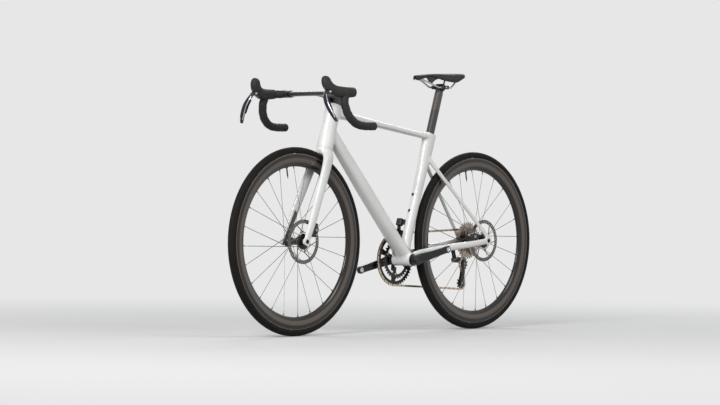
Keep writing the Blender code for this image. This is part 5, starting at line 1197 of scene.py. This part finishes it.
def pedal_insert(way, side):
    """The threaded silver bush in the eye, with its inner turns of thread."""
    profile = [(0.0092, 0.0607), (0.0092, 0.0752), (0.0089, 0.0756), (0.0078, 0.0756),
               *thread((0.007, 0.0745), (0.0076, 0.07385), 10, -0.0013), (0.0072, 0.0607)]
    return turned(profile, bottom_bracket + way * crank_length, Y * side, 40, loop=True)


spindle = turned([(0.009, -0.0665), (0.0112, -0.067), (0.012, -0.0662), (0.012, 0.0662), (0.0112, 0.067),
                  (0.009, 0.0665)], bottom_bracket, Y, 48, loop=True)
piece("spindle_tube", spindle, "crankset", bright_steel, "steel", "crank_spindle")
spider_outline = [(0.0165, -0.0568), (0.038, -0.0562), (0.0425, -0.0545), (0.0447, -0.051), (0.045, -0.0444),
                  (0.0607, -0.0444), (0.0607, -0.0398), (0.029, -0.0398), (0.028, -0.0485), (0.0165, -0.0485)]
spider = [plate(bottom_bracket, out, Y, spider_outline, 0.0136, 0.001) for out in spider_ways]
for name, side in hands:
    way = crank_way * -side
    arm = together(crank_arm(way, side), *(spider if side < 0 else ()))
    piece("crank_arm_" + name, arm, "crankset", crank_gloss, "black_metal", "crank_" + name)
    cap = turned([(0, 0.0716), (0.0172, 0.0716), (0.0172, 0.0722), (0.0166, 0.073), (0.014, 0.0732),
                  (0.0126, 0.0724), (0.0122, 0.0705), (0.0088, 0.0702), (0, 0.0702)],
                 bottom_bracket, Y * side, 56)
    socket = bolt_head(bottom_bracket + Y * 0.07 * side, Y * side, 0.0086, 0.0022, 0.62)
    piece("crank_cap_" + name, together(cap, socket), "crankset", black_metal, "black_metal")
    piece("pedal_bush_" + name, pedal_insert(way, side), "crankset", polished, "silver")
pinch = [bolt_head(bottom_bracket - crank_way * reach + Y * 0.059 + Z * -0.0192, -Z, 0.0034, 0.0026)
         for reach in (0.006, -0.006)]
piece("crank_pinch_bolts", together(*pinch), "crankset", black_metal, "black_metal")

for name, teeth, left, gap_angle, step_thick, wide in (
        ("outer", outer_teeth, chain_side, gap_angles[0], 0.003, 0.0075),
        ("inner", inner_teeth, inner_ring_side, 0.0, 0.0024, 0.0065)):
    hole = pitch_radius(teeth) - 0.0115
    centre = bottom_bracket + Y * left
    foot, root = 0.0475, hole - 0.002
    tab = [(foot, -wide * 0.8), (root, -wide * 1.7), (root, wide * 1.7), (foot, wide * 0.8)]
    ring = together(toothed_ring(centre, teeth, gap_angle, hole, 0.0018),
                    ring_band(centre, hole - 0.0035, hole + 0.0008, step_thick, 160),
                    *[plate(centre, out, -out.cross(Y), tab, 0.002, 0.0004) for out in spider_ways])
    piece("toothed_ring_" + name, ring, "crankset", ring_alloy, "black_metal", "chainring_" + name, sharp=30)
ring_bolts = []
for out in spider_ways:
    place = bottom_bracket + out * 0.055
    ring_bolts += [bolt_head(place - Y * 0.0465, -Y, 0.0048, 0.0016, 0.55),
                   bolt_head(place - Y * 0.0375, Y, 0.0045, 0.0012, 0.5)]
piece("ring_bolts", together(*ring_bolts), "crankset", bright_steel, "black_metal")

# Cassette: eleven stamped and plated steel sprockets on a splined freehub body, held by a lockring.
# The larger ones are opened out between six arms.

sprockets = []
for index, teeth in enumerate((11, 13, 15, 17, 19, 21, 23, 25, 27, 30, 34)):
    centre = rear_axle + Y * (chain_side + (index - 5) * 0.00374)
    gap_angle = gap_angles[3] if teeth == chained_sprocket else 0.15 * index
    open_ring = teeth > 20
    inner = pitch_radius(teeth) - 0.0105 if open_ring else 0.0152
    sprockets.append(toothed_ring(centre, teeth, gap_angle, inner, 0.0016, 6))
    for arm in range(6 if open_ring else 0):
        out = around(arm * math.pi / 3 + 0.12 * index)
        reach = inner + 0.0015
        sprockets.append(block(centre + out * (0.0165 + reach) / 2, out * (reach - 0.0165) / 2, Y * 0.0007,
                               out.cross(Y) * 0.0026))
piece("sprocket_stack", together(*sprockets), "cassette_body", bronze_steel, "steel", "cassette", sharp=30)
drum = turned([(0.0108, -0.0205), (0.0172, -0.0205), (0.0175, -0.0212), (0.0175, -0.05), (0.016, -0.052),
               (0.016, -0.065), (0.0108, -0.065)], rear_axle, Y, 56, loop=True)
lockring = ring_band(rear_axle - Y * 0.0654, 0.0108, 0.0148, 0.0022, 192, spline_wave)
lip = turned([(0.011, -0.0662), (0.0135, -0.0662), (0.0132, -0.0669), (0.011, -0.0669)], rear_axle, Y, 48,
             loop=True)
piece("freehub_drum", together(drum, lockring, lip), "cassette_body", black_metal, "steel", "cassette")

# Chain: 110 links of plates, rollers and riveted pins, outer and inner links by turns. The inner
# plates are bright and the outer ones dark.

chain_steel = finish("plated_link_steel", {"Metallic": 1.0})
where = object_place()
outer_plates = abs(where.parts()[1] - chain_side).rise(0.0017, 0.002)
tarnish = noise(where, 110, 3)
varied({"Base Color": outer_plates.blend(tarnish.blend((0.1, 0.078, 0.06), (0.2, 0.16, 0.125)),
                                         tarnish.blend((0.5, 0.41, 0.32), (0.74, 0.64, 0.53))),
        "Roughness": (200, 3, 0.2, 0.4)})

half_link = arc(link_pitch / 2, 0.004, -90, 90, 6) + [(0, 0.0029)]
link_plate = plate(Vector(), X, Z, half_link + [(-x, -y) for x, y in half_link], 0.0006)
chain_plane = Y * chain_side
links = []
for index, pin in enumerate(pins):
    after = pins[(index + 1) % len(pins)]
    along = (after - pin).normalized()
    place = place_matrix((pin + after) / 2 + chain_plane, along, Y, along.cross(Y))
    for way in (1, -1):
        one = link_plate.copy()
        bmesh.ops.translate(one, vec=Y * way * (0.00215 if index % 2 else 0.0015), verts=one.verts)
        bmesh.ops.transform(one, matrix=place, verts=one.verts)
        links.append(one)
    links.append(axle_rod(pin + chain_plane, 0.0012, 0.0038, sides=10))
    links.append(axle_rod(pin + chain_plane, 0.00275, 0.0017, sides=8))
piece("linked_chain", together(*links), "frame_body", chain_steel, "steel", "chain", sharp=30)

# Rear derailleur: a hinged parallelogram of forged links between two knuckles, and a cage of two
# plates that holds the guide and tension pulleys, on bushes.

hanger_bolt = rear_axle + Vector((-0.008, 0, -0.027))
hanger_side, low_side = -0.0836, -0.0522
forward = hanger_bolt + Vector((0.018, 0, -0.006))
hanger_face = hanger_bolt + Y * hanger_side
mount_barrel = rod(hanger_face, hanger_face - Y * 0.013, 0.0105, sides=48, soft=0.0016)
mount_arm = loft([(place + Y * (hanger_side - 0.0065), *size) for place, *size in
                  ((hanger_bolt, 0.006, 0.008), (forward, 0.006, 0.007),
                   (forward + X * 0.003, 0.004, 0.0048))], power=2.6)
piece("mount_knuckle", together(mount_barrel, mount_arm), "frame_body", moulded_plastic, "black_metal",
      "derailleur_mount_knuckle")
guide_knuckle = guide + Vector((0.006, 0, 0.014))
link_top = forward + Vector((0.003, 0, -0.0085))
link_foot = guide_knuckle + (link_top - guide_knuckle).normalized() * 0.0118
link_way = (link_top - link_foot).normalized()
for name, left in (("outer", hanger_side - 0.01), ("inner", hanger_side - 0.0025)):
    top, foot = link_top + Y * left, link_foot + Y * (left + 0.004)
    arm = loft([(top + link_way * 0.001, 0.0018, 0.005), (top, 0.0028, 0.0075),
                (top.lerp(foot, 0.5), 0.0026, 0.006), (foot, 0.0028, 0.007),
                (foot - link_way * 0.0008, 0.0018, 0.005)], power=3.0)
    piece(f"parallel_link_{name}", arm, "frame_body", black_metal, "black_metal", f"derailleur_{name}_link")
boss = guide + Vector((0.003, 0, 0.004))
low_barrel = rod(guide_knuckle + Y * (low_side - 0.001), guide_knuckle + Y * (hanger_side - 0.0105), 0.011,
                 sides=48, soft=0.0018)
cage_boss = rod(boss + Y * low_side, boss + Y * (low_side - 0.009), 0.0085, sides=40, soft=0.001)
piece("cage_pivot_knuckle", together(low_barrel, cage_boss), "frame_body", moulded_plastic, "black_metal",
      "derailleur_cage_knuckle")
caps = [bolt_head(place + Y * (hanger_side - deep), -Y, radius, height, 0.45)
        for place, deep, radius, height in (
            (hanger_bolt, 0.0129, 0.006, 0.0016), (guide_knuckle, 0.0104, 0.006, 0.0014),
            (link_top, 0.013, 0.003, 0.0014), (link_foot, 0.009, 0.003, 0.0014))]
piece("derailleur_pivot_caps", together(*caps), "frame_body", bronze_steel, "steel")

cage_way = (tension - guide).normalized()
cage_across = Vector((cage_way.z, 0, -cage_way.x))
cage_length = (tension - guide).length
cage_outline = [*arc(cage_length, 0.012, -90, 90, 16, 0.875), (cage_length * 0.55, 0.0078),
                *arc(0, 0.012, 90, 270, 16, 0.875), (cage_length * 0.55, -0.0078)]
flat_guide, flat_tension = [Vector((place.x, chain_side, place.z)) for place in (guide, tension)]
plates = []
for way in (1, -1):
    side_place = flat_guide + Y * way * 0.0047
    windows = [block(side_place + cage_way * cage_length * share, cage_way * 0.01, Y * 0.004,
                     cage_across * 0.0034) for share in (0.36, 0.66)]
    plates.append(carved(plate(side_place, cage_way, cage_across, cage_outline, 0.0018, 0.0004), *windows))
piece("cage_plates", together(*plates), "frame_body", ring_alloy, "black_metal", "derailleur_cage", sharp=30)
cage_bolts = []
for place in (flat_guide, flat_tension):
    cage_bolts += [axle_rod(place, 0.004, 0.0025, sides=24),
                   *[bolt_head(place + Y * way * 0.0055, Y * way, 0.0036, 0.0011) for way in (1, -1)]]
piece("pulley_bolts", together(*cage_bolts), "frame_body", bronze_steel, "steel", "derailleur_cage")
for name, place, gap_angle in (("guide", flat_guide, gap_angles[2]),
                               ("tension", flat_tension, gap_angles[1])):
    rim = toothed_ring(place, pulley_teeth, gap_angle, 0.0118, 0.0018, 10)
    arms = [block(place + out * 0.0095, out * 0.0032, Y * 0.0008, out.cross(Y) * 0.0014)
            for out in [around(index * math.pi / 2.5 + 0.3) for index in range(5)]]
    bush = turned([(0.0029, -0.0034), (0.005, -0.0034), (0.0078, -0.0016), (0.0078, 0.0016), (0.005, 0.0034),
                   (0.0029, 0.0034)], place, Y, 40, loop=True)
    piece(name + "_pulley_wheel", together(rim, bush, *arms), name + "_pulley_body", moulded_plastic,
          "black_metal", name + "_pulley", sharp=30)

# Front derailleur: a moulded motor block on the seat tube, and a cage of two bent plates over the
# outer ring, joined by a bridge at the back.

ring_top = pitch_radius(outer_teeth)
motor_place = bottom_bracket + Vector((-0.016, -0.037, ring_top + 0.0034 + 0.0395))
motor = softened(block(motor_place, seat_fore * 0.0093, Y * 0.0123, seat_up * 0.0143), 0.0042, 4)
foot_place = Vector((motor_place.x - 0.008, -0.0229, motor_place.z))
foot = softened(block(foot_place, seat_fore * 0.0075, Y * 0.0064, seat_up * 0.009), 0.0012)
piece("front_motor_block", together(motor, foot), "frame_body", moulded_plastic, "black_metal",
      "front_derailleur")
motor_bolt = bolt_head(motor_place - Y * 0.0122 + seat_up * 0.004, -Y, 0.0034, 0.0012)
knob = turned([(0, 0.009), (0.0068, 0.009), (0.0074, 0.0098), (0.007, 0.0108), (0.004, 0.0112), (0, 0.0112)],
              motor_place + seat_up * 0.003, seat_fore, 40)
piece("front_motor_knob", together(motor_bolt, knob), "frame_body", ring_alloy, "black_metal")
guide_outline = arc(0, ring_top + 0.0165, 78, 120, 10) + arc(0, ring_top - 0.006, 126, 84, 10)
inner_guide, outer_guide, guide_thick = chain_side + 0.0072, chain_side - 0.0085, 0.0014
guides = [plate(bottom_bracket + Y * left, X, Z, guide_outline, guide_thick, 0.0003)
          for left in (inner_guide - guide_thick / 2, outer_guide + guide_thick / 2)]
bridge_place = bottom_bracket + Vector((-0.012, (inner_guide + outer_guide) / 2, ring_top + 0.0145))
lean = math.radians(8)
bridge = block(bridge_place, around(lean) * 0.01, Y * (inner_guide - outer_guide) / 2,
               around(lean + math.pi / 2) * 0.0016)
carrier_place = Vector((motor_place.x, motor_place.y - 0.004, (bridge_place.z + motor_place.z - 0.015) / 2))
carrier = block(carrier_place, X * 0.0048, Y * 0.0048, Z * (motor_place.z - 0.013 - bridge_place.z) / 2)
piece("front_cage_plates", together(*guides, bridge, carrier), "frame_body", ring_alloy, "silver",
      "front_derailleur_cage", sharp=30)

# Seatpost: a clear-coated carbon post with a cradle in its head. The clamp is a barrel that grips
# both rails between plates and turns in the cradle, drawn tight by bolts.

post_carbon = finish("post_carbon", {"IOR": 1.5, "Coat Roughness": 0.1})
where = object_place()
upward = where.parts()[2]
# Painted highlight: the lighter, warmer band round the upper part of the post stands in for a highlight of
# the lamps. The stretched noise under it is the carbon weave.
band = upward.rise(0.835, 0.838) * (1.0 - upward.rise(0.905, 0.908))
weave = noise(where * (1.0, 1.0, 0.12), 380, 3)
# The painted highlight band lifts the colour toward the warm light tone.
varied({"Base Color": (band * 0.55 + weave * 0.35).blend((0.012, 0.0112, 0.0105), (0.078, 0.067, 0.059)),
        "Roughness": (30, 3, 0.28, 0.44), "Coat Weight": (9, 2, 0.25, 0.5), "Normal": bump(weave, 0.00003)})

tilt_centre = axis_place("saddle_tilt")
post = loft([*post_rows(0.367, 0.64), (seat_point(0.655), 0.0129, 0.0164), (seat_point(0.67), 0.012, 0.0156),
             (seat_point(0.679), 0.0115, 0.015)], power=2.6, sides=48, steps=8)
cradle = axle_rod(tilt_centre, 0.03, 0.0146, sides=64)
piece("post_moulding", carved(post, cradle), "seatpost_body", post_carbon, "dark_carbon", "seatpost")

rail_side, rail_radius = 0.022, 0.0034
barrel = axle_rod(tilt_centre, 0.015, 0.014, sides=64, soft=0.0006)
jaws = []
for side in (1, -1):
    jaw = softened(block(tilt_centre + Y * side * rail_side, X * 0.0175, Y * 0.008, Z * 0.0068), 0.0018, 3)
    start = tilt_centre + Vector((-0.05, side * rail_side, 0))
    jaws.append(carved(jaw, rod(start, start + X * 0.1, rail_radius + 0.0003)))
piece("rail_clamp", together(barrel, *jaws), "saddle_clamp_body", black_metal, "black_metal", "saddle_clamp")
clamp_bolts = [bolt_head(tilt_centre + Y * side * 0.0299, Y * side, 0.0042, 0.0022) for side in (1, -1)]
piece("rail_clamp_bolts", together(*clamp_bolts), "saddle_clamp_body", bright_steel, "steel")

# Saddle: a moulded shell with foam bonded under a thin cover, pressed in along the middle, dropped at
# the sides and hollow underneath. Its bent steel rails stand in sockets under the nose and the tail.

saddle_cover = finish("saddle_cover", {"IOR": 1.38})
ahead, beside, height = object_place().parts()
stitch = (ahead * 2100.0).sine() * (beside * 2100.0).sine()
varied({"Base Color": (40, 4, (0.008, 0.0076, 0.0074), (0.023, 0.0215, 0.0205)),
        "Roughness": (30, 3, 0.46, 0.66),
        "Normal": bump(stitch.rise(-0.5, 0.8) + noise(object_place(), 600, 3), 0.00006)})

saddle_length = 0.236
saddle_middle = tilt_centre + Vector((0.03, 0, 0.0505))
side_half = [(-1.0, 1.0), (-0.985, 0.62), (-0.89, 0.25), (-0.62, 0.06), (-0.32, 0.0), (-0.12, 0.04)]
section = [*side_half, (0.0, 0.13), *[(-across, down) for across, down in reversed(side_half)]]


def eased(low, high, value):
    share = min(max((value - low) / (high - low), 0.0), 1.0)
    return share * share * (3 - 2 * share)


def saddle_share(along):
    """Half width, top height and skirt depth at a share of the length from the nose."""
    nose = 0.0205
    width = nose + (0.0725 - nose) * eased(0.28, 0.86, along)
    if along > 0.84:
        width -= 0.03 * ((along - 0.84) / 0.16) ** 2
    if along < 0.1:
        width = nose * (0.4 + 0.6 * math.sin(math.pi / 2 * max(along, 0) / 0.1))
    top = -0.01 + 0.011 * eased(-0.1, 0.55, along) + 0.0035 * eased(0.5, 1.0, along)
    skirt = 0.021 - 0.0045 * eased(0.05, 0.35, along) + 0.015 * eased(0.35, 0.8, along)
    return width, top, skirt - 0.018 * eased(0.84, 1.0, along)


def crowned_skin(rows, low, inset, drop, thick):
    """The saddle's section swept from nose to tail, given a thickness downwards."""
    across = through([((*place, 0), 0, 0) for place in section], 4)
    bm = bmesh.new()
    bmesh.ops.create_grid(bm, x_segments=rows - 1, y_segments=len(across) - 1, size=1)
    for vert in bm.verts:
        row = round((1 - vert.co.x) / 2 * (rows - 1)) / (rows - 1)
        place = across[round((vert.co.y + 1) / 2 * (len(across) - 1))]
        along = low + (1 - low * 2) * row
        width, top, skirt = saddle_share(along)
        tuck = eased(0.0, 0.035, 0.035 - along + low)
        tail = eased(0.965, 1.0, along)
        wing = (0.6 - eased(0.08, 0.24, along) * 0.14 + eased(0.24, 0.58, along) * 0.74
                - eased(0.68, 0.88, along) * 0.6)
        reach = skirt * min(place[1] * drop, 1.0) * wing
        vert.co = (saddle_middle.x + saddle_length * (0.5 - along),
                   saddle_middle.y + place[0] * (width - inset) * (1 - 0.1 * tail),
                   saddle_middle.z + top - reach * (1 - 0.25 * tail) - 0.0035 * tuck - 0.003 * tail)
    bmesh.ops.recalc_face_normals(bm, faces=bm.faces)
    if sum(face.normal.z for face in bm.faces) < 0:
        bmesh.ops.reverse_faces(bm, faces=bm.faces)
    return baked(bm, ("SOLIDIFY", {"thickness": thick, "offset": -1.0, "use_even_offset": True}),
                 ("BEVEL", {"width": thick * 0.3, "segments": 2, "limit_method": "ANGLE"}))


cover = crowned_skin(72, 0.0, 0.0, 1.0, 0.0052)
saddle_pad = piece("padded_cover", cover, "saddle_body", saddle_cover, "saddle_cover", "saddle")


def under_cover(along, left, across):
    """A place for a rail's end under the cover, at a share of the saddle's length from the nose."""
    _, top, skirt = saddle_share(along)
    down = skirt * (0.62 + 0.12 * across) + 0.0035
    return saddle_middle + Vector((saddle_length * (0.5 - along), left, top - down))


tail_rail, nose_rail = under_cover(0.91, 0.032, 0.5), under_cover(0.1, 0, 0.4)
clamped = [tilt_centre + Vector(step) for step in ((-0.041, rail_side, 0.002), (-0.029, rail_side, 0),
                                                   (0.029, rail_side, 0), (0.043, 0.021, 0.002))]
left_rail = [tail_rail, *clamped,
             nose_rail + Vector((-0.03, 0.01, -0.0055)), nose_rail + Vector((-0.008, 0.008, 0)), nose_rail]
points = left_rail + [flipped(point) for point in reversed(left_rail[:-1])]
rails = loft([(point, rail_radius, rail_radius) for point in points], hint=Z, sides=16, power=2, steps=8)
piece("bent_rails", rails, "saddle_body", bright_steel, "steel", "saddle_rails")
shell = crowned_skin(60, 0.02, 0.0035, 0.86, 0.0022)
bmesh.ops.translate(shell, vec=(0, 0, -0.0046), verts=shell.verts)
tail_socket = tail_rail + X * 0.004
sockets = [softened(block(point + Z * 0.005, X * 0.012, Y * 0.0075, Z * half), 0.0022, 3)
           for point, half in ((tail_socket, 0.0088), (flipped(tail_socket), 0.0088), (nose_rail, 0.007))]
piece("saddle_base", together(shell, *sockets), "saddle_body", saddle_cover, "saddle_cover", "saddle")

# Studio: a pale matt floor that fades into the background, a sky of even soft light, three large soft
# lamps, and the camera at the photograph's place, level with the wheels' middle and far off.

background = (0.8, 0.8, 0.8, 1)
fade_start, fade_end = 0.9, 4.2


def seen_directly(output, plain, lit):
    """Ends the tree with one shader for what the camera sees, also by way of a mirror or glass."""
    camera_ray, glossy_ray, clear_ray = [Wire.node("LightPath", None, None, f"Is {kind} Ray")
                                         for kind in ("Camera", "Glossy", "Transmission")]
    mixed = Wire.node("MixShader", None, {0: camera_ray.most(glossy_ray).most(clear_ray), 1: lit, 2: plain})
    Wire.tree.links.new(mixed.socket, Wire.tree.nodes[output].inputs["Surface"])


floor_paint = finish("matt_floor", {"Roughness": 0.9, "Specular IOR Level": 0.0})
varied({"Base Color": (1.5, 2, (0.7, 0.7, 0.7), (0.74, 0.74, 0.74))})
ahead, beside, height = object_place().parts()
distance = (ahead * ahead + beside * beside) ** 0.5
glow = Wire.node("Emission", None, {"Color": background, "Strength": 1.0})
painted = Wire(Wire.tree.nodes["Principled BSDF"].outputs[0])
shown = Wire.node("MixShader", None, {0: distance.rise(fade_start, fade_end), 1: painted, 2: glow})
seen_directly("Material Output", shown, Wire.node("BsdfDiffuse", None, {"Color": (0.22, 0.22, 0.22, 1)}))

bm = bmesh.new()
bmesh.ops.create_circle(bm, cap_ends=True, segments=64, radius=60)
floor = linked("studio_floor", bm)
floor.data.materials.append(floor_paint)

world = bpy.data.worlds.new("studio")
world.use_nodes = True
Wire.tree = world.node_tree
seen_directly("World Output", Wire.node("Background", None, {"Color": background, "Strength": 1.0}),
              Wire.node("Background", None, {"Color": (0.98, 0.99, 1.0, 1), "Strength": 0.4}))
bpy.context.scene.world = world


def aimed(name, data, place, look, roll=0.0):
    """A lamp or camera at a place, turned to look along a direction."""
    obj = bpy.data.objects.new(name, data)
    obj.location = place
    obj.rotation_mode = "QUATERNION"
    obj.rotation_quaternion = look.to_track_quat("-Z", "Y") @ Quaternion((0, 0, 1), roll)
    bpy.context.scene.collection.objects.link(obj)
    return obj


for name, place, power, wide, high, colour in (
        ("key_lamp", (7.0, 2.4, 3.8), 450, 3.6, 2.4, (1.0, 0.99, 0.97)),
        ("side_lamp", (0.0, 6.0, 4.8), 130, 3.6, 2.2, (1.0, 1.0, 1.0)),
        ("back_lamp", (-4.5, -3.5, 4.5), 130, 4.0, 2.5, (0.97, 0.99, 1.0))):
    lamp = bpy.data.lights.new(name, "AREA")
    lamp.shape = "RECTANGLE"
    lamp.size, lamp.size_y = wide, high
    lamp.energy = power
    lamp.color = colour
    aimed(name, lamp, place, Vector((0, 0, 0.5)) - Vector(place))

focal_pixels, sensor_width, picture_width = 2848.8, 36, 720
yaw, pitch, roll = math.radians(-138.11), math.radians(-0.02), math.radians(0.506)
look = Vector((math.cos(pitch) * math.cos(yaw), math.cos(pitch) * math.sin(yaw), math.sin(pitch)))
camera_place = (7.96, 7.001, 0.486)
camera = aimed("camera", bpy.data.cameras.new("camera"), camera_place, look, roll)
camera.data.lens = focal_pixels * sensor_width / picture_width
bpy.context.scene.camera = camera
bpy.context.scene.view_settings.view_transform = "Standard"
